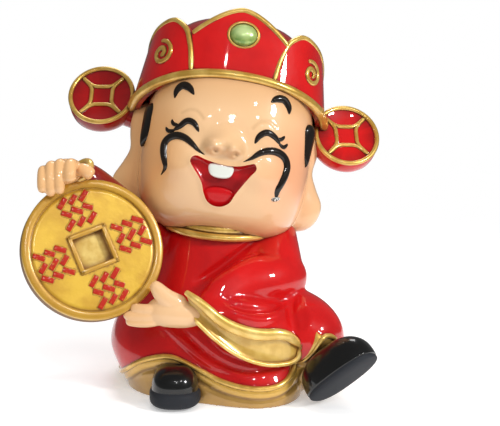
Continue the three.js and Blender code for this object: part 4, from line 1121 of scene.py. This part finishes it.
# Where the border climbs, its width is measured across it.
hem_turns = np.linspace(-math.pi, math.pi, 361)
hem_levels = np.interp(hem_turns, hem_angles, hem_heights, period=FULL)
hem_slopes = 1 / np.hypot(1, np.gradient(hem_levels, hem_turns) / HEM_REACH)
robe_form.normal_update()
for vert, normal in [(v, v.normal.copy()) for v in robe_form.verts]:
    x, y, z = vert.co / UNIT
    angle = math.atan2(x, HEM_CENTRE.y - y)
    over = (z - np.interp(angle, hem_turns, hem_levels)) * np.interp(angle, hem_turns, hem_slopes)
    vert[border] = over
    upright = clamp(1 + 2 * normal.z, 0)
    vert.co += normal * (hem_lift(over) * upright * MM)
    vert.co.z = max(vert.co.z, 0)


def shadow_behind_hand(paint, x, z):
    """A painted shadow darkens the raised sleeve behind the hand."""
    part = (1 - paint.step(x, -58 * MM, -42 * MM)) * paint.step(z, 96 * MM, 112 * MM) * 0.8
    return part, (0.13, 0.012, 0.01)


# The robe's lacquer has a painted shadow behind the raised hand and painted shade in its hollows.
robe_paint, robe_tone = lacquer("robe lacquer", RED, shadow_behind_hand, (14, 0.22), (3.5, 0.08))
over = robe_paint.attribute("border")
low_edge = -HEM_BAND["half"]
# The foot of the border, under its lip, is a browner gold: partly the gold's own tone and partly painted
# shade where it turns in under the lip.
foot = 1 - robe_paint.step(over + robe_paint.noise(9) * 0.5, low_edge - 0.4, low_edge + 0.5)
foot_gold = robe_paint.blend(robe_paint.noise(12, 3), (0.36, 0.19, 0.05), (0.56, 0.34, 0.09))
# Painted shade darkens the crease between the lip and the foot.
crease = robe_paint.step(over, low_edge - 0.7, low_edge)
crease = crease * (1 - robe_paint.step(over, low_edge, low_edge + 0.8)) * 0.7
# A brown wash and painted shade darken the border's hollows, less on its upper lip.
border_wash_and_shade = robe_paint.step(robe_paint.attribute(HOLLOW) + robe_paint.noise(4, 3) * 0.3, 0.3, 0.95)
border_wash_and_shade = border_wash_and_shade * (0.7 - robe_paint.step(over, 0, 0.8) * 0.5)
border_gold = robe_paint.layered(
    (0.56, 0.31, 0.05), (robe_paint.noise(8, 3), (0.8, 0.5, 0.12)), (foot, foot_gold),
    (border_wash_and_shade.math("MAXIMUM", border_wash_and_shade, crease), (0.16, 0.07, 0.02)))
gilded = 1 - robe_paint.step(over, HEM_BAND["half"] - 0.15, HEM_BAND["half"])
robe_paint.set("Base Color", robe_paint.blend(gilded, robe_tone, border_gold))
robe_paint.set("Metallic", gilded * 0.4)
robe_skin = BVHTree.FromBMesh(robe_form)
robe = finished("robe", robe_form, robe_paint)

# Collar, cuffs and border of the robe
# Broad gold edges modelled as rolls on the cloth: two rings at the neck, a ring at the raised wrist, the
# long open mouth of the wide sleeve with its lining, and the lip of the skirt's border over both shoes.

COLLAR = {"x": 0.6, "y": -0.4, "radius": 14.4, "flare": 0.9, "top": 43.9, "step": 1.7, "slant": -0.09,
          "forward": 0.05, "thickness": 5.4}


def ring_way(u):
    return Vector((math.sin(FULL * u), -math.cos(FULL * u), 0))


def collar_line(k):
    def centre(u):
        way = ring_way(u) * (COLLAR["radius"] + COLLAR["flare"] * k)
        z = COLLAR["top"] - COLLAR["step"] * k + COLLAR["slant"] * way.x + COLLAR["forward"] * way.y
        return Vector((COLLAR["x"] + way.x, COLLAR["y"] + way.y, z))
    return centre


collar_radius = share(COLLAR["thickness"]) / 2
collar_form = bmesh.new()
for k in (0, 1):
    roll(collar_form, collar_line(k), ring_way, collar_radius * mix(1.1, 0.85, k), collar_radius, 120, 18)
finished("collar", collar_form, gold)

# The ring's radius and its way back from the wrist are shares, the thickness is in millimetres.
CUFF = {"thickness": 4.4, "ring": 3.1, "back": 0.8}
cuff_radius = share(CUFF["thickness"]) / 2
cuff_way = (raised_wrist - raised_bend).normalized()
cuff_across = cuff_way.cross(UP).normalized()
cuff_up = cuff_across.cross(cuff_way)
cuff_middle = raised_wrist - cuff_way * CUFF["back"]


def cuff_spoke(u):
    return cuff_across * math.cos(FULL * u) + cuff_up * math.sin(FULL * u)


raised_cuff_form = bmesh.new()
roll(raised_cuff_form, lambda u: cuff_middle + cuff_spoke(u) * CUFF["ring"], cuff_spoke, cuff_radius,
     cuff_radius, 60, 14)
cuff_gold = gilding("cuff gold", (0.7, 0.43, 0.08), (0.95, 0.68, 0.22), (0.42, 0.21, 0.045), metal=0.4)
finished("raised_cuff", raised_cuff_form, cuff_gold)

CUFF_END = (22.2, -26.2, 15.2)
CUFF_UPPER = Curve([(-7.5, -30, 30.6), (-3.6, -31.4, 28), (2.6, -31.8, 22.8), (10.2, -31, 19.7),
                    (17.8, -28.8, 18.8), CUFF_END])
CUFF_LOWER = Curve([(-5, -31.8, 23.6), (0, -32.2, 18.8), (6.2, -31.8, 14.2), (13.6, -30.4, 11.4),
                    (20.8, -27.4, 11.8), CUFF_END])
CUFF_ROUND = Curve([*CUFF_UPPER.points(12)[:-1], *CUFF_LOWER.points(12)[::-1]])
CUFF_WIDTH = Stations((0, 0.8), (0.12, 1.2), (0.3, 1.6), (0.42, 1.35), (0.52, 0.8), (0.6, 0.6), (1, 0.6))


def cuff_size(t):
    wide = CUFF_WIDTH(t)[0]
    return cuff_radius * wide, cuff_radius * min(1, wide)


cuff_form = bmesh.new()
limb(cuff_form, CUFF_ROUND, cuff_size, FRONT, 20, 200, blunt=8)
finished("sleeve_cuff", cuff_form, cuff_gold)

LINING = {"sunk": 0.7, "belly": 1.1, "thickness": 5, "lean": 0.3}


def lining_face(u, v, back):
    """The lining hangs inside both edges of the cuff and bellies back between them."""
    place = CUFF_LOWER.point(u).lerp(CUFF_UPPER.point(u), v)
    belly = LINING["belly"] * math.sin(math.pi * v) * math.sin(math.pi * min(1, u + 0.2))
    sunk = LINING["sunk"] + belly + share(LINING["thickness"]) * back
    return place + Vector((0, sunk, -LINING["lean"] * sunk))


lining_form = bmesh.new()
plate(lining_form, 80, 20, lining_face)
lining_gold = gilding("lining gold", (0.62, 0.37, 0.06), (0.82, 0.56, 0.14), (0.4, 0.2, 0.04), metal=0.25)
lining_skin = BVHTree.FromBMesh(lining_form)
finished("sleeve_lining", lining_form, lining_gold, sharp=50)
# The skirt stays behind the lining in the mouth of the sleeve: what stands in front of it is pressed back.
PRESSED, LOOKED_FROM, IN_FRONT = 2.5 * MM, 40 * MM, 14 * MM
for vert in robe.data.vertices:
    hit = lining_skin.ray_cast(vert.co + VIEW_WAY * LOOKED_FROM, -VIEW_WAY)
    if hit[0] is not None and -PRESSED < (vert.co - hit[0]).dot(VIEW_WAY) < IN_FRONT:
        vert.co = hit[0] - VIEW_WAY * PRESSED


def on_skirt(u):
    """The upper edge of the border, on the skirt's outer surface."""
    middle = HEM.point(u)
    way = Vector((middle.x, middle.y - HEM_CENTRE.y, 0)).normalized()
    level = HEM_CENTRE + Vector((0, 0, middle.z + HEM_BAND["half"] - 0.25))
    hit = robe_skin.ray_cast((level + way * 60) * UNIT, -way)
    return hit[0] / UNIT


border_edge = Curve([on_skirt(k / 150) for k in range(150)], closed=True, fine=4)
lip_radius = share(HEM_BAND["lip"]) / 2
border_form = bmesh.new()
roll(border_form, border_edge.point,
     lambda u: (border_edge.point(u) - HEM_CENTRE - Vector((0, 0, border_edge.point(u).z))).normalized(),
     lip_radius, lip_radius, 420, 12)
finished("skirt_border", border_form, gold)

# Coin
# A thick cast coin with a raised rim, a square frame round a recess, and four places of raised strokes
# in red. It is painted a yellow gold, and its edge is brown from the wash.

coin_form = bmesh.new()
coin_radius, coin_field, coin_back = COIN["width"] / 2, -COIN["rise"], -COIN["thickness"]
bevel, inside_rim = COIN["bevel"], COIN["width"] / 2 - COIN["rim"]
# A groove runs inside the rim, and the field is cut into rings so that its shade can vary.
FIELD_RINGS = 28
turned(coin_form, [
    (0, coin_back), (coin_radius - bevel, coin_back), (coin_radius - 0.3 * bevel, coin_back + 0.3 * bevel),
    (coin_radius, bevel + coin_back), (coin_radius, -bevel), (coin_radius - 0.3 * bevel, -0.3 * bevel),
    (coin_radius - bevel, 0), (inside_rim + 0.9, 0), (inside_rim + 0.4, -0.25),
    (inside_rim, coin_field - 0.5), (inside_rim - 0.5, coin_field - 0.5),
    *[((inside_rim - 1.2) * (1 - k / FIELD_RINGS), coin_field) for k in range(FIELD_RINGS)],
    (0, coin_field)], on_coin, 180)

coin_gold = Paint("coin gold", Metallic=0.2, Coat_Roughness=0.15)
# A brown wash and painted shade darken the coin in its hollows.
wash_and_shade_part = coin_gold.step(coin_gold.attribute(HOLLOW) + coin_gold.noise(3, 3) * 0.2, 0.3, 0.9) * 0.8
# Below zero in the coin and zero at its rim: the rim is deeper in tone, and the edge behind it brown.
depth_in = coin_gold.node("ShaderNodeVectorMath", {"operation": "DOT_PRODUCT"}, {
    0: coin_gold.where(), 1: tuple(coin_out)}, 1) - COIN_CENTRE.dot(coin_out) * UNIT
edge_brown = 1 - coin_gold.step(depth_in, -2.8 * MM, -1.8 * MM)
rim_tint = coin_gold.step(depth_in, -0.9 * MM, -0.5 * MM) * 0.65
coin_gold.set("Base Color", coin_gold.layered(
    (0.76, 0.47, 0.04), (coin_gold.step(coin_gold.noise(14, 4), 0.35, 0.7), (0.6, 0.33, 0.022)),
    (wash_and_shade_part, (0.32, 0.14, 0.02)), (rim_tint, (0.46, 0.22, 0.025)), (edge_brown, (0.2, 0.1, 0.035))))
coin_gold.set("Roughness", coin_gold.noise(4) * 0.15 + edge_brown * 0.3 + 0.27)
coin_gold.set("Coat Weight", (1 - edge_brown) * 0.6)
coin_gold.uneven((7, 0.15), (1.5, 0.06))


def coin_bar(form, start, end, width, low, high, soft=0.4):
    """A soft-edged bar on the coin, from one point to another in the turned frame of the square."""
    (x0, z0), (x1, z1) = start, end
    length, way = math.hypot(x1 - x0, z1 - z0), math.atan2(z1 - z0, x1 - x0) + COIN_SPIN
    middle = Matrix.Rotation(COIN_SPIN, 2) @ Vector(((x0 + x1) / 2, (z0 + z1) / 2))
    made = bmesh.ops.create_cube(form, size=1)["verts"]
    for vert in made:
        vert.co = Vector((vert.co.x * length, vert.co.y * width, high if vert.co.z > 0 else low))
    edges = list({e for v in made for e in v.link_edges})
    if soft:
        rounded = bmesh.ops.bevel(form, geom=edges, offset=soft, segments=3, profile=0.5,
                                  affect="EDGES", material=-1)
        made = list({v for f in rounded["faces"] for v in f.verts} | {v for v in made if v.is_valid})
    for vert in made:
        x, z, out = vert.co
        vert.co = on_coin(middle.x + x * math.cos(way) - z * math.sin(way),
                          middle.y + x * math.sin(way) + z * math.cos(way), out) * UNIT


coin = finished("coin", coin_form, coin_gold, sharp=40)
recess_form = bmesh.new()
inner_square = COIN["square"] - 2 * COIN["bar"]
coin_bar(recess_form, (-inner_square / 2, 0), (inner_square / 2, 0), inner_square,
         coin_field - COIN["recess"], 3, 0)
bmesh.ops.subdivide_edges(recess_form, edges=recess_form.edges[:], cuts=14, use_grid_fill=True)
square_gold = gilding("pale gold", (0.62, 0.37, 0.055), (0.86, 0.64, 0.2), (0.3, 0.13, 0.02), metal=0.25)
cut_out(coin, recess_form, square_gold)
coin.data.set_sharp_from_angle(angle=math.radians(40))
frame_form = bmesh.new()
half_square = COIN["square"] / 2
bar_line = half_square - COIN["bar"] / 2
for k in range(4):
    turn = Matrix.Rotation(k * math.pi / 2, 2)
    start, end = [turn @ Vector((s * half_square, bar_line)) for s in (-1, 1)]
    coin_bar(frame_form, start, end, COIN["bar"], coin_field - 1, 0.1, 0.6)
finished("coin_square", frame_form, coin_gold)

# The strokes are painted red, and a low gold ground runs round each of them.
STROKE = {"length": 7, "width": 3, "rise": 0.9, "sunk": 1, "slant": 38, "ground": 0.9}
# Each of the four places is this far from the middle and has rows of short slanted strokes, no letters.
PLACE = {"reach": 23.6, "rows": 3, "across": 3, "row_gap": 6.6, "gap": 6.4}
stroke_red = Paint("stroke red", Coat_Weight=0.4, Coat_Roughness=0.1, Roughness=0.5, Specular_IOR_Level=0.1)
stroke_red.set("Base Color", stroke_red.blend(
    stroke_red.step(stroke_red.noise(1.6, 2), 0.58, 0.72) * 0.6, (0.46, 0.022, 0.01), (0.62, 0.22, 0.04)))
stroke_red.uneven((1.4, 0.15))
stroke_form, ground_form = bmesh.new(), bmesh.new()
slant = math.radians(STROKE["slant"])
for place in range(4):
    way = math.pi / 2 * place
    centre = Vector((math.cos(way), math.sin(way))) * PLACE["reach"]
    for row in range(PLACE["rows"]):
        for column in range(PLACE["across"]):
            lean = slant if (row + place) % 2 else math.pi - slant
            half = Vector((math.cos(lean), math.sin(lean)))
            half *= STROKE["length"] * (0.5 - 0.07 * ((row + column) % 2))
            middle = centre + Vector(((column - (PLACE["across"] - 1) / 2) * PLACE["gap"],
                                      (row - (PLACE["rows"] - 1) / 2) * PLACE["row_gap"]))
            for form, wider, rise, soft in ((stroke_form, 0, STROKE["rise"], 0.45),
                                            (ground_form, STROKE["ground"], STROKE["rise"] / 2, 0.4)):
                coin_bar(form, middle - half, middle + half, STROKE["width"] + wider,
                         coin_field - STROKE["sunk"], coin_field + rise, soft)
finished("coin_strokes", stroke_form, stroke_red)
finished("coin_stroke_ground", ground_form, coin_gold)

# Hands
# The raised hand hooks four fingers over the top of the coin, and the low hand holds it from below with
# its thumb up. Both are modelled in one with their sleeves and painted as the face is.


def finger(form, hand_at, points, size):
    limb(form, [hand_at(p) for p in points], even(size), FRONT, 24, 24, blunt=2.6)


# Fingers of the raised hand: across, height of the knuckle, tip's height, half thickness.
high_form = bmesh.new()
for across, knuckle, tip, size in [
        (-0.4, 7, 1.6, 1.3), (1.6, 8.1, 0.6, 1.4), (3.9, 8.6, 1.2, 1.45), (6.6, 8.5, 4.4, 1.65)]:
    finger(high_form, high_hand_at, [
        (across + 0.5, 0.6, knuckle - 0.8), (across, -2.6, knuckle),
        (across, -4.8, mix(knuckle, tip, 0.5)), (across + 0.1, -4.9, tip)], size)
limb(high_form, [high_hand_at(p) for p in [(0.8, 0.6, 5.2), (4.8, 1.2, 6), (8.6, 3, 6.2)]],
     Stations((0, 3, 3), (0.5, 3.4, 3.2), (1, 2.7, 2.7)), FRONT, 32, 32, blunt=3)
finger(high_form, high_hand_at, [(7.2, 0.6, 6.4), (10, -1.4, 6.9), (12.2, -2, 5.4)], 1.75)
finished("raised_hand", fused(high_form, 0.5 * MM, 3), skin)

low_form = bmesh.new()
# The palm, three fingers as reach of the tip, height and half thickness, and the thumb.
limb(low_form, [low_hand_at(p) for p in [
    (-0.4, -4.6, -4.6), (4, -5.4, -3.6), (9, -5.6, -4.3), (14, -5, -5.2)]],
     Stations((0, 2.6, 2), (0.35, 4, 2.7), (0.7, 3.5, 2.7), (1, 2.5, 2.4)), FRONT, 32, 32, blunt=3)
for tip, z, size in [(-4.4, -2.9, 1.35), (-6.4, -4.7, 1.4), (-5.8, -6.4, 1.3)]:
    finger(low_form, low_hand_at, [(4.4, -5.4, z * 0.8 - 0.6), (0, -5.9, z), (tip, -4.8, z)], size)
limb(low_form, [low_hand_at(p) for p in [(9.2, -5.4, -3), (4.8, -6, 0), (1.2, -5.8, 4.2)]],
     Stations((0, 3.2, 2.2), (0.5, 2.5, 1.9), (1, 1.5, 1.5)), FRONT, 28, 28, blunt=2.8)
finished("low_hand", fused(low_form, 0.5 * MM, 4), skin)

# Shoes
# Round-toed shoes in gloss black with thick dark grey soles, cast with the robe. The right one stands
# flat, and the left one is kicked up and shows its sole.

SHOES = {
    "right_shoe": {"middle": (-10.4, -27.7, 2.8), "toe": (0, -1, 0), "down": (0, 0, -1), "length": 15.6,
                   "width": 13.2, "sole": 2.8, "upper": 5, "narrow": 0.92, "back": -0.4},
    "left_shoe": {"middle": (32.6, -32, 8.6), "toe": (0.74, -0.2, 0.66), "down": (0.52, -0.58, -0.6),
                  "length": 20.6, "width": 12.2, "sole": 1.3, "upper": 7.8, "narrow": 1.02, "back": 0},
}
# How square the plan of a shoe is, and the edges of its sole and upper.
SHOE_PLAN, SOLE_EDGE, UPPER_EDGE = 2.5, 3.2, 2.6
shoe_paint = Paint("shoe black", Specular_IOR_Level=0.15)
soled = shoe_paint.step(shoe_paint.attribute("sole"), 0.4, 0.6)
shoe_paint.set("Base Color", shoe_paint.blend(soled, (0.006, 0.006, 0.006), (0.024, 0.026, 0.031)))
shoe_paint.set("Roughness", soled * 0.3 + 0.3)
shoe_paint.set("Coat Weight", (1 - soled) * 0.9)
shoe_paint.set("Coat Roughness", 0.05)
shoe_paint.uneven((6, 0.1), (1.2, 0.03))
for name, shoe in SHOES.items():
    forward, middle = Vector(shoe["toe"]).normalized(), Vector(shoe["middle"])
    across = forward.cross(Vector(shoe["down"])).normalized()
    down = across.cross(forward).normalized()

    def shoe_point(d, share_of, edge, high, low, seat):
        """A point of the sole or the upper, which are widest at the height of their seat."""
        plan = ((abs(d.x) ** SHOE_PLAN + abs(d.y) ** SHOE_PLAN) ** (1 / SHOE_PLAN)) or 1
        level = level_of(d)
        wide = max(1 - abs(level) ** edge, 0) ** (1 / edge) * share_of / 2 / plan
        height = seat + level * (high if level > 0 else low)
        return (middle + across * (d.x * wide * shoe["width"]) + forward * (d.y * wide * shoe["length"])
                + forward * (shoe["back"] * (share_of != 1)) - down * height)
    shoe_form = bmesh.new()
    sole_layer = shoe_form.verts.layers.float.new("sole")
    ball(shoe_form, 72, 40, lambda d: shoe_point(d, 1, SOLE_EDGE, shoe["sole"], shoe["sole"], 0))
    for vert in shoe_form.verts:
        vert[sole_layer] = 1
    ball(shoe_form, 72, 56, lambda d: shoe_point(
        d, shoe["narrow"], UPPER_EDGE, shoe["upper"] + shoe["sole"] * 0.4, shoe["sole"] * 0.9,
        shoe["sole"] * 0.6))
    cut_at_floor(shoe_form)
    finished(name, shoe_form, shoe_paint)

# Hollows
# Painted shade gathers where the casting is hemmed in, with a brown wash on the gold. Every point of a piece
# keeps how much of the space over it is closed by its neighbours.

REACH = 7 * MM
WAYS = 14
# The rays start a little over the skin and fill most of the half ball over it. The share they find closed
# is raised by the gain.
START, SPREAD, GAIN = 0.15 * MM, 0.85, 1.8
points, triangles = [], []
for piece in pieces:
    mesh = piece.data
    first = len(points)
    points.extend(v.co.copy() for v in mesh.vertices)
    mesh.calc_loop_triangles()
    triangles.extend(tuple(first + k for k in t.vertices) for t in mesh.loop_triangles)
around_all = BVHTree.FromPolygons(points, triangles, all_triangles=True)
golden = math.pi * (3 - math.sqrt(5))
cap = []
for k in range(WAYS):
    h = 1 - (k + 0.5) / WAYS * SPREAD
    ring = math.sqrt(1 - h * h)
    cap.append(Vector((ring * math.cos(golden * k), ring * math.sin(golden * k), h)))
for piece in pieces:
    mesh = piece.data
    closed = np.zeros(len(mesh.vertices), np.float32)
    for k, vert in enumerate(mesh.vertices):
        normal = vert.normal
        turn = normal.to_track_quat("Z", "Y")
        start = vert.co + normal * START
        for way in cap:
            hit = around_all.ray_cast(start, turn @ way, REACH)
            if hit[0] is not None:
                closed[k] += 1 - hit[3] / REACH
    layer = mesh.attributes.new(HOLLOW, "FLOAT", "POINT")
    layer.data.foreach_set("value", np.clip(closed / WAYS * GAIN, 0, 1).astype(np.float32))

# Floor, light and camera
# A pale table that fades into the white room, under soft studio light, seen as the photo was taken.

floor_paint = Paint("pale floor", Roughness=0.7)
floor_paint.set("Base Color", floor_paint.blend(
    floor_paint.noise(60), (0.86, 0.86, 0.86), (0.89, 0.89, 0.89)))
# The floor's radius and where it begins to fade, in metres, and a faint glow that lightens its shadows.
FLOOR = {"edge": 0.5, "fade": 0.24, "glow": 0.34}
far = floor_paint.node("ShaderNodeVectorMath", {"operation": "LENGTH"}, {0: floor_paint.where()}, 1)
floor_paint.set("Alpha", 1 - floor_paint.step(far, FLOOR["fade"], FLOOR["edge"] * 0.98))
floor_paint.set("Emission Color", (1, 1, 1))
floor_paint.set("Emission Strength", FLOOR["glow"])
floor_form = bmesh.new()
bmesh.ops.create_circle(floor_form, cap_ends=True, segments=96, radius=FLOOR["edge"])
floor = shaped("floor", floor_form, floor_paint)

world = bpy.data.worlds.new("studio")
bpy.context.scene.world = world
world.use_nodes = True
sky, seen = world.node_tree.nodes["Background"], world.node_tree.nodes.new("ShaderNodeLightPath")
sky.inputs["Color"].default_value = (1, 1, 1, 1)
# The room is white behind the figure, bright for soft light, and darker in what the gloss mirrors.
ROOM = {"seen": 1.0, "soft": 0.42, "mirrored": 0.13}
into = sky.inputs["Strength"]
for output, level in (("Is Glossy Ray", ROOM["mirrored"]), ("Is Camera Ray", ROOM["seen"])):
    bright = world.node_tree.nodes.new("ShaderNodeMix")
    world.node_tree.links.new(bright.outputs[0], into)
    world.node_tree.links.new(seen.outputs[output], bright.inputs[0])
    bright.inputs[3].default_value = level
    into = bright.inputs[2]
into.default_value = ROOM["soft"]

LAMP_DISTANCE = 1.1
LAMP_TARGET = Vector((0, 0, 0.12))


def lamp(name, azimuth, elevation, size, power, mirrored=True):
    """A lamp at an azimuth from the front and an elevation, in degrees, with its size in metres."""
    light = bpy.data.lights.new(name, "AREA")
    light.shape = "RECTANGLE"
    light.size, light.size_y = size
    light.energy = power
    made = in_scene(name, light)
    turn, rise = math.radians(azimuth), math.radians(elevation)
    way = Vector((math.sin(turn) * math.cos(rise), -math.cos(turn) * math.cos(rise), math.sin(rise)))
    made.location = LAMP_TARGET + way * LAMP_DISTANCE
    made.rotation_euler = (-way).to_track_quat("-Z", "Y").to_euler()
    made.visible_glossy = mirrored


lamp("key", 52, 27, (0.13, 0.18), 6.4)
lamp("small", 3, 30, (0.03, 0.03), 0.9)
lamp("front", -4, 34.5, (0.016, 0.01), 0.13)
lamp("high", 26, 38, (0.05, 0.05), 0.8)
lamp("left", -35, 45, (0.3, 0.3), 1.5, mirrored=False)
lamp("top", 10, 80, (0.3, 0.2), 1.8, mirrored=False)
lamp("back", 176, 58, (0.5, 0.4), 4)

camera = bpy.data.cameras.new("camera")
camera.lens, camera.sensor_width = CAMERA["lens"], CAMERA["film"]
camera.clip_start, camera.clip_end = 0.01, 20
camera_piece = in_scene("camera", camera)
camera_piece.location = camera_place
camera_piece.rotation_euler = (-VIEW_WAY).to_track_quat("-Z", "Y").to_euler()
bpy.context.scene.camera = camera_piece
bpy.context.scene.view_settings.view_transform = "Standard"
